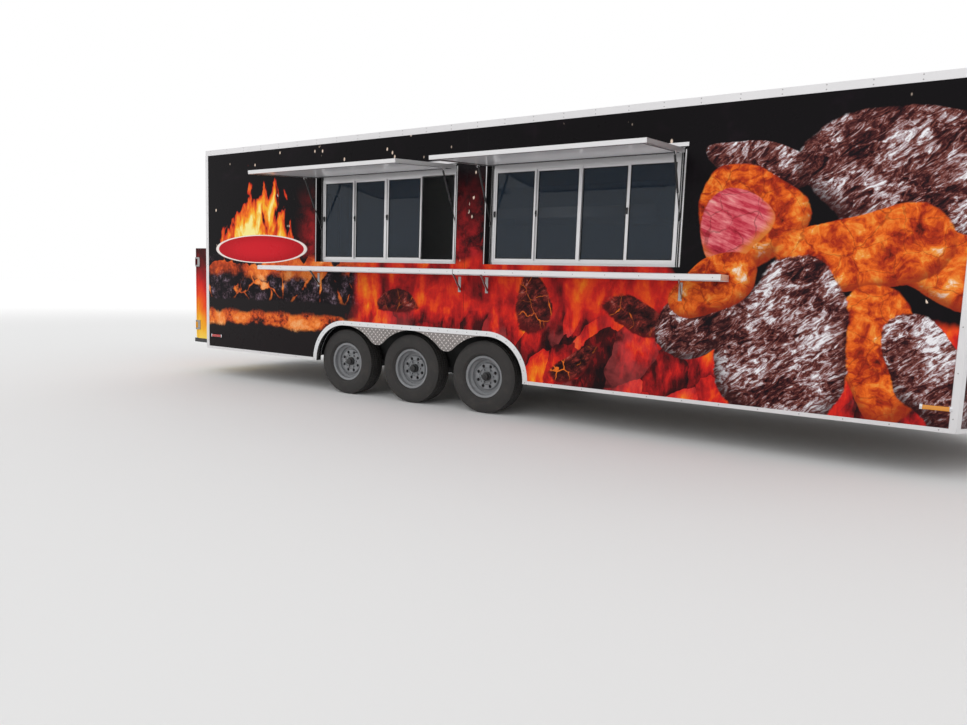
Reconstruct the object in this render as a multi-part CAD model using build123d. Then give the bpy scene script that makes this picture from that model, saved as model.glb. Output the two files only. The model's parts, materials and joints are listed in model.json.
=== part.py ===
"""Tri-axle enclosed food trailer, with two service windows, raised hatches and fold-down counters.

The origin is the centre of the tow ball's socket. +X points forwards along the tongue, +Y to the
trailer's left and +Z up. Heights in the table below are above the ground. The right side, at -Y,
is the serving side. Each sub-part has its own function, and each one becomes one node.
"""

import os
from math import atan2, cos, degrees, hypot, radians, sin, sqrt, tan

from build123d import *

# Overall sizes, heights above the ground
BALL_HEIGHT = 460.0
BODY_LENGTH = 7925.0
BODY_WIDTH = 2591.0
NOSE_LENGTH = 760.0
NOSE_TIP_WIDTH = 460.0
NOSE_TIP_RADIUS = 90.0
TONGUE_REACH = 1000.0
SKIRT_HEIGHT = 345.0
FLOOR_HEIGHT = 555.0
ROOF_EDGE_HEIGHT = 2755.0
ROOF_CROWN = 55.0
WALL = 75.0
FLOOR_THICKNESS = 22.0
SEAT_GAP = 0.3
MOVING_GAP = 6.0

# Running gear
WHEEL_RADIUS = 359.0
WHEEL_PITCH = 889.0
ARCH_FROM_REAR = 3229.0
AXLES_BEHIND_ARCH = 40.0
TYRE_WIDTH = 223.0
TYRE_INSET = 50.0
TREAD_WIDTH = 172.0
RIM_RADIUS = 208.0
BEAD_RADIUS = 190.0
RIM_WIDTH = 168.0
HAND_HOLES = 8
HAND_HOLE_RADIUS = 17.0
HAND_HOLE_CIRCLE = 105.0
LUGS = 6
LUG_CIRCLE = 69.85
LUG_RADIUS = 10.5
DRUM_RADIUS = 152.0
AXLE_TUBE = 76.0
TORSION_ARM = 152.0
ARM_THICKNESS = 18.0
SPINDLE_RADIUS = 19.0

# Wheel arch, shared by both sides
ARCH_RADIUS = 456.0
ARCH_HALF_SPAN = 916.0
FLANGE_WIDTH = 50.0
FLANGE_THICKNESS = 3.0
FLANGE_LIP = 38.0
SCALLOP_RADIUS = 505.0
SCALLOP_APEX = 765.0
SCALLOP_FILLET = 130.0
WHEEL_BOX_SHEET = 5.0
WHEEL_BOX_HEIGHT = 850.0
WHEEL_BOX_LOW_HEIGHT = 392.0
FENDER_TIP_HEIGHT = 300.0
FENDER_TIP_MARGIN = 120.0

# Frame under the floor
MAIN_RAIL_SPREAD = 1910.0
MAIN_RAIL_WIDTH = 51.0
MAIN_RAIL_HEIGHT = 152.0
SIDE_RAIL_SIZE = 50.0
CROSS_MEMBER_WIDTH = 44.0
CROSS_MEMBER_HEIGHT = 76.0
CROSS_MEMBERS = 14

# Tongue, coupler and jack
TONGUE_RAIL_WIDTH = 64.0
TONGUE_RAIL_HEIGHT = 127.0
TONGUE_CROSS_SETBACK = 240.0
TONGUE_CROSS_WIDTH = 50.0
TONGUE_CROSS_HALF = 560.0
SOCKET_RADIUS = 29.8
SOCKET_DEPTH = 30.0
SOCKET_RISE = 4.0
COUPLER_WALL = 7.0
COUPLER_LENGTH = 330.0
JACK_SETBACK = 470.0
JACK_TUBE_RADIUS = 32.0
JACK_LEG_RADIUS = 26.0
JACK_TRAVEL = 330.0
JACK_FOOT = 140.0

# Serving side
JAMB_WIDTH = 48.0
HATCH_HINGE_HEIGHT = 2400.0
HATCH_DROP = 936.0
HATCH_THICKNESS = 34.0
HATCH_DROOP = 6.0
HATCH_EDGE = 32.0

# Bays of the serving side, measured from the rear wall
BAY_COLUMNS = ("name", "centre", "counter_rear", "counter_front", "braces", "slid_open")
BAY_ROWS = (
    ("rear", 2814.0, 1264.0, 3916.0, (1944.0, 3829.0), True),
    ("front", 5014.0, 3922.0, 6349.0, (4139.0, 5989.0), False),
)
BAYS = tuple(dict(zip(BAY_COLUMNS, row)) for row in BAY_ROWS)
SASH_WIDTH = 1764.0
SASH_SILL_RISE = 26.0
SASH_HEAD_DROP = 62.0
SASH_DEPTH = 46.0
SASH_SETBACK = 64.0
SASH_FACE = 16.0
SASH_STILE = 32.0
SASH_PANES = 4
SASH_SHIFT = 24.0
GLASS = 5.0

# Gas struts of a hatch
STRUT_INSET = 28.0
STRUT_FOOT_DROP = 567.0
STRUT_FOOT_DEPTH = 49.0
STRUT_HEAD_DROP = 205.0
STRUT_HEAD_STANDOFF = 15.0
STRUT_BODY_RADIUS = 9.0
STRUT_ROD_RADIUS = 5.0
STRUT_BODY_MARGIN = 40.0
STRUT_EYE_RADIUS = 8.0
STRUT_ROD_MARGIN = 20.0
STRUT_EYE_WIDTH = 10.0

# Counters and their folding braces
COUNTER_HEIGHT = 1394.0
COUNTER_DEPTH = 280.0
COUNTER_SHEET = 4.0
COUNTER_LIP = 46.0
COUNTER_KNUCKLE = 5.0
COUNTER_WALL_GAP = 8.0
BRACE_REACH = 169.0
BRACE_FOOT_DROP = 186.0
BRACE_WIDTH = 22.0
BRACE_THICKNESS = 5.0
BRACE_HEAD_DROP = 30.0
BRACE_FOOT_REACH = 19.0
BRACE_PLATE_LENGTH = 150.0
COUNTER_LEAF = 40.0

# Rear wall, door and cabinet
DOOR_WIDTH = 910.0
DOOR_HEIGHT = 1960.0
DOOR_THICKNESS = 44.0
DOOR_CENTRE_Y = 560.0
DOOR_RADIUS = 60.0
CABINET_INSET = 200.0
CABINET_WIDTH = 1010.0
CABINET_DEPTH = 486.0
CABINET_TOP_HEIGHT = 1610.0
CABINET_SHEET = 25.0
PLATFORM_HEIGHT = 430.0
PLATFORM_THICKNESS = 50.0

# Trim and lamps
TRIM_THICKNESS = 4.0
TRIM_JOINT = 0.6
SKIRT_TRIM_HEIGHT = 32.0
CORNER_TRIM_WIDTH = 45.0
LAMP_LENGTH = 160.0
LAMP_HEIGHT = 32.0
LAMP_DEPTH = 18.0
LAMP_LEVEL = 512.0
TAIL_LAMP_RADIUS = 54.0
TAIL_LAMP_HEIGHTS = (830.0, 960.0)

# Smaller settings
TONGUE_OVERLAP = 620.0
TONGUE_TIP_X = -262.0
JACK_TUBE_FOOT = 345.0
JACK_TUBE_TOP = 470.0
JACK_OVERLAP = 120.0
ROOF_EDGE = 30.0
CROWN_UNDER = ROOF_CROWN - 8
DISC_X = 14.0
DRUM_X = -52.0
DRUM_DEPTH = 62.0
SPINDLE_END = 20.0

DOOR_HINGES = (0.1, 0.5, 0.9)
CABINET_HINGES = (0.15, 0.85)
HINGE_BARREL = 80.0
HINGE_KNUCKLE = 6.0
HINGE_PIN = 3.0
PLATFORM_LENGTH = 520.0
TAIL_LAMP_Y = 1180.0
FRONT_LAMP_INSET = 130.0
REAR_LAMP_INSET = 189.0
EXHAUST_FROM_REAR = 4485.0
EXHAUST_Y = 700.0
EXHAUST_CURB = 420.0
EXHAUST_CURB_HEIGHT = 120.0
EXHAUST_STACK_RADIUS = 150.0
EXHAUST_STACK_HEIGHT = 80.0
EXHAUST_CAP_RADIUS = 205.0
EXHAUST_CAP_HEIGHT = 70.0

# Kitchen
COOK_COLUMNS = ("start", "width", "height")
COOK_ROWS = (
    (3000.0, 700.0, 900.0),
    (3705.0, 900.0, 950.0),
    (4610.0, 600.0, 900.0),
)
COOK_UNITS = tuple(dict(zip(COOK_COLUMNS, row)) for row in COOK_ROWS)
COOK_DEPTH = 660.0
WORKTOP_GAP = 40.0
WORKTOP_DEPTH = 560.0
HOOD_HEIGHT = 1500.0
HOOD_DEPTH = 900.0
HOOD_TOP_DEPTH = 500.0
HOOD_LIP = 120.0
HOOD_RISE = 420.0
HOOD_SHEET = 10.0

# Places worked out from the sizes
GROUND = -BALL_HEIGHT
NOSE_X = -TONGUE_REACH
CORNER_X = NOSE_X - NOSE_LENGTH
REAR_X = CORNER_X - BODY_LENGTH
HALF_WIDTH = BODY_WIDTH / 2
INNER_HALF = HALF_WIDTH - WALL
SKIRT_Z = GROUND + SKIRT_HEIGHT
FLOOR_Z = GROUND + FLOOR_HEIGHT
DECK_Z = FLOOR_Z - FLOOR_THICKNESS
ROOF_Z = GROUND + ROOF_EDGE_HEIGHT
AXLE_Z = GROUND + WHEEL_RADIUS
ARCH_X = REAR_X + ARCH_FROM_REAR
WHEEL_XS = tuple(ARCH_X - AXLES_BEHIND_ARCH + k * WHEEL_PITCH for k in (-1, 0, 1))
WHEEL_Y = HALF_WIDTH - TYRE_INSET - TYRE_WIDTH / 2
RAIL_LOW_Z = DECK_Z - SEAT_GAP - MAIN_RAIL_HEIGHT
AXLE_TUBE_Z = RAIL_LOW_Z - SEAT_GAP - 8 - AXLE_TUBE / 2
TORSION_RUN = sqrt(TORSION_ARM ** 2 - (AXLE_Z - AXLE_TUBE_Z) ** 2)
ARM_Y = (MAIN_RAIL_SPREAD + MAIN_RAIL_WIDTH) / 2 + 2
BACKING_Y = WHEEL_Y + DRUM_X - DRUM_DEPTH / 2 - MOVING_GAP - 4
WHEEL_BOX_Y = (MAIN_RAIL_SPREAD + MAIN_RAIL_WIDTH) / 2 + WHEEL_BOX_SHEET + SEAT_GAP
WHEEL_BOX_X = (ARCH_X - ARCH_HALF_SPAN - ARCH_RADIUS, ARCH_X + ARCH_HALF_SPAN + ARCH_RADIUS)
HINGE_Z = GROUND + HATCH_HINGE_HEIGHT
HATCH_AXIS = (-HALF_WIDTH - 4, HINGE_Z + 2)
HATCH_SWING = 90 - HATCH_DROOP
OPENING_WIDTH = SASH_WIDTH + 2 * JAMB_WIDTH
STRUT_X = OPENING_WIDTH / 2 - STRUT_INSET
STRUT_FOOT = (-HALF_WIDTH + STRUT_FOOT_DEPTH, HATCH_AXIS[1] - STRUT_FOOT_DROP)
COUNTER_Z = GROUND + COUNTER_HEIGHT
COUNTER_AXIS = (-HALF_WIDTH - COUNTER_WALL_GAP, COUNTER_Z - COUNTER_LIP)
BRACE_HEAD = (-HALF_WIDTH - BRACE_REACH, COUNTER_Z - BRACE_HEAD_DROP)
BRACE_FOOT = (-HALF_WIDTH - BRACE_FOOT_REACH, COUNTER_Z - BRACE_FOOT_DROP)
OPENING_LOW_Z = HINGE_Z - HATCH_DROP - 2 * MOVING_GAP
DOOR_LOW_Z = FLOOR_Z + 10
FRONT_LAMP_X = CORNER_X - FRONT_LAMP_INSET
REAR_LAMP_X = REAR_X + REAR_LAMP_INSET
EXHAUST_PLACE = (REAR_X + EXHAUST_FROM_REAR, EXHAUST_Y)
SIDES = (("right", -1), ("left", 1))
DOOR_AXIS = (REAR_X - 8, DOOR_CENTRE_Y + DOOR_WIDTH / 2 + 3)
CABINET_X = (REAR_X - SEAT_GAP - CABINET_DEPTH, REAR_X - SEAT_GAP)
CABINET_Y = (-HALF_WIDTH + CABINET_INSET, -HALF_WIDTH + CABINET_INSET + CABINET_WIDTH)
CABINET_AXIS = (CABINET_X[0] + 6, CABINET_Y[0] - 8)


def save(node, *shapes):
    """Write one node's solids to its file."""
    solids = [solid for shape in shapes for solid in shape.solids()]
    whole = solids[0] if len(solids) == 1 else Compound(children=solids)
    export_step(whole, f"parts/{node}.step")


def block(x, y, z):
    """A box from three (low, high) pairs, in any order."""
    spans = [(min(s), max(s)) for s in (x, y, z)]
    size = [high - low for low, high in spans]
    middle = [(low + high) / 2 for low, high in spans]
    return Pos(*middle) * Box(*size)


def rod(start, end, radius):
    """A round bar between two points."""
    start, end = Vector(*start), Vector(*end)
    along = end - start
    return Solid.extrude(Face(Wire(Edge.make_circle(radius, Plane(start, z_dir=along)))), along)


def plate(points, thickness, direction):
    """A flat polygon, extruded along a direction."""
    face = make_face(Polyline(*points, close=True))
    return extrude(face, thickness, dir=direction)


def mirror_left(shape):
    """The same shape on the trailer's other side."""
    return mirror(shape, about=Plane.XZ)


def plan_outline(offset):
    """The nose's corner and tip, seen from above, with its walls moved inwards by offset."""
    run, rise = HALF_WIDTH - NOSE_TIP_WIDTH / 2, NOSE_LENGTH
    turn = atan2(run, rise)
    side = HALF_WIDTH - offset
    corner_x = CORNER_X - offset * tan(turn / 2)
    tip_x = NOSE_X - offset
    tip_y = side - (tip_x - corner_x) * run / rise
    return corner_x, side, tip_x, tip_y


def nose_face(offset, start_x):
    """The nose's plan, from start_x to the tip, as one face with a rounded tip."""
    corner_x, side, tip_x, tip_y = plan_outline(offset)
    points = [(start_x, -side), (corner_x, -side), (tip_x, -tip_y), (tip_x, tip_y), (corner_x, side),
              (start_x, side)]
    face = make_face(Polyline(*points, close=True))
    tips = [v for v in face.vertices() if abs(v.X - tip_x) < 1]
    return fillet(tips, NOSE_TIP_RADIUS if offset == 0 else max(NOSE_TIP_RADIUS - offset, 10.0))


def arch_outline(radius, low):
    """The long wheel arch in the XZ plane, open down to the height low."""
    left, right = ARCH_X - ARCH_HALF_SPAN, ARCH_X + ARCH_HALF_SPAN
    with BuildSketch(Plane.XZ) as sketch:
        with BuildLine():
            Line((left - radius, low), (left - radius, AXLE_Z))
            RadiusArc((left - radius, AXLE_Z), (left, AXLE_Z + radius), radius)
            Line((left, AXLE_Z + radius), (right, AXLE_Z + radius))
            RadiusArc((right, AXLE_Z + radius), (right + radius, AXLE_Z), radius)
            Line((right + radius, AXLE_Z), (right + radius, low))
            Line((right + radius, low), (left - radius, low))
        make_face()
    return sketch.sketch


def across(sketch, y_low, y_high):
    """Extrude an XZ sketch from y_low to y_high."""
    return Pos(0, y_low, 0) * extrude(sketch, y_high - y_low, dir=(0, 1, 0))


def arch_cut(y_low, y_high):
    """The space that the wheel arch takes out of a side."""
    return across(arch_outline(ARCH_RADIUS - FLANGE_WIDTH + 8, GROUND), y_low, y_high)


def bay_x(centre):
    """A place along the body, from its distance to the rear wall."""
    return REAR_X + centre


def tongue_rails(gap):
    """The two rails of the A-frame, grown by gap on every side."""
    top = DECK_Z - SEAT_GAP
    back_x = CORNER_X - TONGUE_OVERLAP
    back_y = MAIN_RAIL_SPREAD / 2 - MAIN_RAIL_WIDTH / 2 - SEAT_GAP
    front_y = SOCKET_RADIUS + COUPLER_WALL + SEAT_GAP
    lean = atan2(back_y - front_y, TONGUE_TIP_X - back_x)
    across_rail = TONGUE_RAIL_WIDTH / cos(lean)
    slope = (back_y - across_rail - front_y) / (TONGUE_TIP_X - back_x)
    points = []
    inner, outer = -gap, across_rail + gap
    tip_x = TONGUE_TIP_X + gap
    for x, edge in ((back_x, inner), (tip_x, inner), (tip_x, outer), (back_x, outer)):
        points.append((x, front_y + (TONGUE_TIP_X - x) * slope + edge, top - TONGUE_RAIL_HEIGHT - gap))
    left = plate(points, TONGUE_RAIL_HEIGHT + 2 * gap, (0, 0, 1))
    return left, mirror_left(left)


def main_frame():
    """Main rails, side rails and the cross-members butted between them, coped to the tongue."""
    rail_in, rail_out = (MAIN_RAIL_SPREAD - MAIN_RAIL_WIDTH) / 2, (MAIN_RAIL_SPREAD + MAIN_RAIL_WIDTH) / 2
    side_rail = INNER_HALF - SEAT_GAP - SIDE_RAIL_SIZE
    rail_top = DECK_Z - SEAT_GAP
    front_x = CORNER_X - WALL
    rear_x = REAR_X + WALL + SEAT_GAP
    lengths = [(WHEEL_BOX_X[1] + SEAT_GAP, front_x), (rear_x, WHEEL_BOX_X[0] - SEAT_GAP)]
    member_z = (rail_top - CROSS_MEMBER_HEIGHT, rail_top)
    pieces = []
    for side in (-1, 1):
        main_rail = ((rear_x, front_x), (side * rail_in, side * rail_out),
                     (rail_top - MAIN_RAIL_HEIGHT, rail_top))
        pieces.append(block(*main_rail))
        for length in lengths:
            pieces.append(block(length, (side * side_rail, side * (side_rail + SIDE_RAIL_SIZE)), member_z))
    pitch = (front_x - rear_x - CROSS_MEMBER_WIDTH) / (CROSS_MEMBERS - 1)
    for k in range(CROSS_MEMBERS):
        member_x = (rear_x + k * pitch, rear_x + k * pitch + CROSS_MEMBER_WIDTH)
        pieces.append(block(member_x, (-rail_in, rail_in), member_z))
        if any(start <= member_x[0] and member_x[1] <= end for start, end in lengths):
            for side in (-1, 1):
                pieces.append(block(member_x, (side * rail_out, side * side_rail), member_z))
    coped = []
    for piece in pieces:
        coped += piece.cut(*tongue_rails(0.0)).solids()
    return coped


def tongue():
    """The A-frame: two rails that meet at the coupler, a cross-piece and the jack's plate."""
    top = DECK_Z - SEAT_GAP
    left, right = tongue_rails(0.0)
    jack_plate = block((-JACK_SETBACK - 110, -JACK_SETBACK + 110), (-150, 150), (top - 8, top))
    cross_x = CORNER_X + TONGUE_CROSS_SETBACK
    cross = block((cross_x, cross_x + TONGUE_CROSS_WIDTH), (-TONGUE_CROSS_HALF, TONGUE_CROSS_HALF),
                  (top - 90, top - 20))
    frame = left.fuse(right, jack_plate, cross)
    return frame - Pos(-JACK_SETBACK, 0, top) * Cylinder(JACK_TUBE_RADIUS + SEAT_GAP, 60)


def coupler():
    """The pressed coupler: a rounded nose over the ball socket and a channel back to the tongue."""
    half = SOCKET_RADIUS + COUPLER_WALL
    top = SOCKET_RADIUS + COUPLER_WALL
    nose = Pos(0, 0, (top - SOCKET_DEPTH) / 2) * Cylinder(half, top + SOCKET_DEPTH)
    nose = fillet(nose.edges().group_by(Axis.Z)[-1], 14)
    channel = block((-COUPLER_LENGTH, 0), (-half, half), (-SOCKET_DEPTH, top - 14))
    hollow = block((-COUPLER_LENGTH - 1, -half - 8), (COUPLER_WALL - half, half - COUPLER_WALL),
                   (-SOCKET_DEPTH - 1, top - 14 - COUPLER_WALL))
    latch = block((-150, -70), (-11, 11), (top - 15, top + 12))
    latch = fillet(latch.edges().filter_by(Axis.Y).group_by(Axis.Z)[-1], 8)
    socket_place = Pos(0, 0, (SOCKET_RISE - SOCKET_DEPTH) / 2)
    socket = socket_place * Cylinder(SOCKET_RADIUS, SOCKET_RISE + SOCKET_DEPTH)
    return nose + channel + latch - hollow - socket - Sphere(SOCKET_RADIUS)


def jack_tube():
    """The tongue jack's outer tube, its flange on the tongue and the gear head with the crank."""
    top = DECK_Z - SEAT_GAP
    x = -JACK_SETBACK
    low = GROUND + JACK_TUBE_FOOT
    tube = Pos(x, 0, (low + JACK_TUBE_TOP) / 2) * Cylinder(JACK_TUBE_RADIUS, JACK_TUBE_TOP - low)
    bore_place = Pos(x, 0, (low + JACK_TUBE_TOP) / 2 - 20)
    bore = bore_place * Cylinder(JACK_LEG_RADIUS + SEAT_GAP, JACK_TUBE_TOP - low)
    flange = Pos(x, 0, top + SEAT_GAP + 5) * Cylinder(JACK_TUBE_RADIUS + 26, 10)
    head = Pos(x, 0, JACK_TUBE_TOP + 20) * Cylinder(JACK_TUBE_RADIUS + 10, 50)
    head = fillet(head.edges().group_by(Axis.Z)[-1], 12)
    shaft = rod((x, -JACK_TUBE_RADIUS, JACK_TUBE_TOP + 20),
                (x, -JACK_TUBE_RADIUS - 60, JACK_TUBE_TOP + 20), 8)
    arm = block((x - 9, x + 9), (-JACK_TUBE_RADIUS - 66, -JACK_TUBE_RADIUS - 58),
                (JACK_TUBE_TOP - 150, JACK_TUBE_TOP + 30))
    grip_y = -JACK_TUBE_RADIUS - 60
    grip = rod((x, grip_y, JACK_TUBE_TOP - 140), (x, grip_y - 100, JACK_TUBE_TOP - 140), 11)
    return tube + flange + head + shaft + arm + grip - bore


def jack_leg():
    """The jack's inner leg, let down to its foot on the ground."""
    x = -JACK_SETBACK
    leg_top = GROUND + JACK_TUBE_FOOT + JACK_OVERLAP
    leg = Pos(x, 0, (GROUND + leg_top) / 2) * Cylinder(JACK_LEG_RADIUS, leg_top - GROUND)
    foot = Pos(x, 0, GROUND + 5) * Cylinder(JACK_FOOT / 2, 10)
    return leg + foot


def axle_beams():
    """Three square axle tubes under the main rails, each with its two brackets."""
    solids = []
    rail_y = MAIN_RAIL_SPREAD / 2
    low = AXLE_TUBE_Z - AXLE_TUBE / 2
    high = AXLE_TUBE_Z + AXLE_TUBE / 2
    for wheel_x in WHEEL_XS:
        x = wheel_x + TORSION_RUN
        tube = block((x - AXLE_TUBE / 2, x + AXLE_TUBE / 2), (-ARM_Y + SEAT_GAP, ARM_Y - SEAT_GAP),
                     (low, high))
        pads = [block((x - 85, x + 85), (side * rail_y - 25, side * rail_y + 25),
                      (high - 1, RAIL_LOW_Z - SEAT_GAP))
                for side in (-1, 1)]
        solids.append(tube.fuse(*pads))
    return solids


def knuckles():
    """Trailing torsion arms, each with its spindle and brake backing plate."""
    solids = []
    for wheel_x in WHEEL_XS:
        x = wheel_x + TORSION_RUN
        low, high = (x, AXLE_TUBE_Z), (wheel_x, AXLE_Z)
        lean = degrees(atan2(high[1] - low[1], high[0] - low[0]))
        for side in (-1, 1):
            y = side * ARM_Y
            end_y = side * (ARM_Y + ARM_THICKNESS)
            arm = rod((low[0], y, low[1]), (low[0], end_y, low[1]), 36)
            arm += rod((high[0], y, high[1]), (high[0], end_y, high[1]), 30)
            middle = Pos((low[0] + high[0]) / 2, (y + end_y) / 2, (low[1] + high[1]) / 2)
            arm += middle * Rot(0, -lean, 0) * Box(TORSION_ARM, ARM_THICKNESS, 54)
            plate_y = side * BACKING_Y
            arm += rod((wheel_x, end_y, AXLE_Z), (wheel_x, plate_y + side * 4, AXLE_Z), 34)
            arm += rod((wheel_x, plate_y, AXLE_Z), (wheel_x, plate_y + side * 4, AXLE_Z), DRUM_RADIUS - 6)
            arm += rod((wheel_x, end_y, AXLE_Z), (wheel_x, side * (WHEEL_Y + SPINDLE_END), AXLE_Z),
                       SPINDLE_RADIUS)
            solids.append(arm)
    return solids


def tyre(x, side):
    """One tyre: round shoulders, bulging sidewalls and beads on the rim."""
    tread, belly, bead = TREAD_WIDTH / 2, TYRE_WIDTH / 2, RIM_WIDTH / 2 - 8 - SEAT_GAP
    seat = BEAD_RADIUS + SEAT_GAP
    lip = RIM_RADIUS + 1.0
    radius = WHEEL_RADIUS
    with BuildSketch(Plane.XY) as section:
        with BuildLine():
            Polyline((0, seat), (bead, seat), (bead, lip), (RIM_WIDTH / 2 + 4, lip))
            ThreePointArc((RIM_WIDTH / 2 + 4, lip), (belly, radius - 88), (tread + 12, radius - 22))
            ThreePointArc((tread + 12, radius - 22), (tread + 6, radius - 8), (tread - 8, radius - 2))
            Polyline((tread - 8, radius - 2), (0, radius), (0, seat))
        make_face()
    half = revolve(section.sketch, Axis.X)
    whole = half + mirror(half, about=Plane.YZ)
    return place_wheel(whole, x, side)


def place_wheel(shape, x, side):
    """Turn a shape made about +X so that its outer face looks out of the given side."""
    return Pos(x, side * WHEEL_Y, AXLE_Z) * Rot(0, 0, side * 90) * shape


def rim(x, side):
    """One steel wheel: drop-centre rim, dished disc with round hand holes, hub, nuts and cap."""
    half = RIM_WIDTH / 2
    hole_low, hole_high = HAND_HOLE_CIRCLE - HAND_HOLE_RADIUS - 3, HAND_HOLE_CIRCLE + HAND_HOLE_RADIUS + 4
    with BuildSketch(Plane.XY) as section:
        with BuildLine():
            Polyline((-half, RIM_RADIUS), (8 - half, RIM_RADIUS), (8 - half, BEAD_RADIUS),
                     (-48, BEAD_RADIUS - 3), (-34, BEAD_RADIUS - 22), (18, BEAD_RADIUS - 22),
                     (38, BEAD_RADIUS - 3), (half - 8, BEAD_RADIUS), (half - 8, RIM_RADIUS),
                     (half, RIM_RADIUS), (half, RIM_RADIUS - 7), (half - 5, BEAD_RADIUS - 6),
                     (42, BEAD_RADIUS - 9), (22, BEAD_RADIUS - 28), (-38, BEAD_RADIUS - 28),
                     (-52, BEAD_RADIUS - 9),
                     (5 - half, BEAD_RADIUS - 6), (-half, RIM_RADIUS - 7), close=True)
        make_face()
    with BuildSketch(Plane.XY) as dish:
        with BuildLine():
            Polyline((DISC_X, 38), (DISC_X, hole_low - 4), (DISC_X + 10, hole_low + 2),
                     (DISC_X + 10, hole_high), (DISC_X + 4, hole_high + 7),
                     (DISC_X - 10, hole_high + 11), (DISC_X - 12, BEAD_RADIUS - 27),
                     (DISC_X - 20, BEAD_RADIUS - 27), (DISC_X - 16, hole_high + 5),
                     (DISC_X + 1, hole_high - 2),
                     (DISC_X + 2, hole_low + 6), (DISC_X - 8, hole_low), (DISC_X - 8, 38), close=True)
        make_face()
    wheel = revolve(section.sketch, Axis.X) + revolve(dish.sketch, Axis.X)
    holes = [Rot(360 / HAND_HOLES * (k + 0.5), 0, 0) * Pos(DISC_X + 6, 0, HAND_HOLE_CIRCLE) * Rot(0, 90, 0)
             * Cylinder(HAND_HOLE_RADIUS, 40) for k in range(HAND_HOLES)]
    wheel = wheel.cut(*holes)
    hub = Rot(0, 90, 0) * Cylinder(41.5, 96)
    hub = Pos(DISC_X - 20, 0, 0) * hub
    cap = Pos(DISC_X + 34, 0, 0) * Rot(0, 90, 0) * Cylinder(33, 40)
    cap = fillet(cap.edges().group_by(Axis.X)[-1], 10)
    drum = Pos(DRUM_X, 0, 0) * Rot(0, 90, 0) * Cylinder(DRUM_RADIUS, DRUM_DEPTH)
    drum -= Pos(DRUM_X - 8, 0, 0) * Rot(0, 90, 0) * Cylinder(DRUM_RADIUS - 8, DRUM_DEPTH)
    nuts = [Rot(360 / LUGS * (k + 0.5), 0, 0) * Pos(DISC_X, 0, LUG_CIRCLE) * Rot(0, 90, 0)
            * extrude(RegularPolygon(LUG_RADIUS, 6), 20) for k in range(LUGS)]
    bore_place = Pos(SPINDLE_END / 2 - 55, 0, 0) * Rot(0, 90, 0)
    bore = bore_place * Cylinder(SPINDLE_RADIUS + SEAT_GAP, SPINDLE_END + 112)
    centre = hub.fuse(cap, drum, *nuts)
    return place_wheel((wheel + centre) - bore, x, side)


def floor():
    """The plywood floor between the walls, cut out for the wheel boxes."""
    outline = extrude(nose_face(WALL + SEAT_GAP, REAR_X + WALL + SEAT_GAP), FLOOR_THICKNESS, dir=(0, 0, 1))
    deck = Pos(0, 0, DECK_Z) * outline
    for side in (-1, 1):
        deck -= block((WHEEL_BOX_X[0] - SEAT_GAP, WHEEL_BOX_X[1] + SEAT_GAP),
                      (side * (WHEEL_BOX_Y - WHEEL_BOX_SHEET - SEAT_GAP), side * HALF_WIDTH),
                      (DECK_Z - 1, FLOOR_Z + 1))
    return deck


def wheel_boxes():
    """The sheet boxes over the wheels, open at the bottom and towards the arch."""
    solids = []
    low, top = GROUND + WHEEL_BOX_LOW_HEIGHT, GROUND + WHEEL_BOX_HEIGHT
    for side in (-1, 1):
        outer = side * (INNER_HALF - SEAT_GAP)
        inner = side * (WHEEL_BOX_Y - WHEEL_BOX_SHEET)
        shell = block(WHEEL_BOX_X, (inner, outer), (low, top))
        shell -= block((WHEEL_BOX_X[0] + WHEEL_BOX_SHEET, WHEEL_BOX_X[1] - WHEEL_BOX_SHEET),
                       (side * WHEEL_BOX_Y, side * HALF_WIDTH), (low - 1, top - WHEEL_BOX_SHEET))
        solids.append(shell)
    return solids


def side_wall(side):
    """One side wall with its wheel arch; the serving side's panels butt at the ends of its two openings."""
    wall = block((REAR_X, CORNER_X), (side * INNER_HALF, side * HALF_WIDTH), (SKIRT_Z, ROOF_Z))
    wall -= arch_cut(-HALF_WIDTH - 5, HALF_WIDTH + 5)
    if side > 0:
        return [wall]
    across, upright = (-HALF_WIDTH - 5, -INNER_HALF + 5), (SKIRT_Z - 5, ROOF_Z + 5)
    joints = [REAR_X - 5, CORNER_X + 5]
    for bay in BAYS:
        x = bay_x(bay["centre"])
        ends = (x - OPENING_WIDTH / 2, x + OPENING_WIDTH / 2)
        wall -= block(ends, across, (OPENING_LOW_Z, HINGE_Z))
        joints += ends
    joints.sort()
    panels = []
    for low, high in zip(joints, joints[1:]):
        panels.append(wall.cut(block((REAR_X - 10, low), across, upright),
                               block((high, CORNER_X + 10), across, upright)))
    return panels


def over_crown(half, level, rise):
    """Everything over a crowned surface that springs from +-half at level, as a long bar."""
    side, top = HALF_WIDTH + 9, ROOF_Z + 400
    with BuildSketch(Plane.YZ) as section:
        with BuildLine():
            Polyline((half, level), (side, level), (side, top), (-side, top), (-side, level),
                     (-half, level))
            ThreePointArc((-half, level), (0, level + rise), (half, level))
        make_face()
    return Pos(REAR_X - 50, 0, 0) * extrude(section.sketch, NOSE_X - REAR_X + 100, dir=(1, 0, 0))


def under_crown(half, level, rise):
    """The bar between a crowned surface and its chord."""
    with BuildSketch(Plane.YZ) as section:
        with BuildLine():
            Line((-half, level), (half, level))
            ThreePointArc((-half, level), (0, level + rise), (half, level))
        make_face()
    return Pos(REAR_X - 50, 0, 0) * extrude(section.sketch, NOSE_X - REAR_X + 100, dir=(1, 0, 0))


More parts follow.
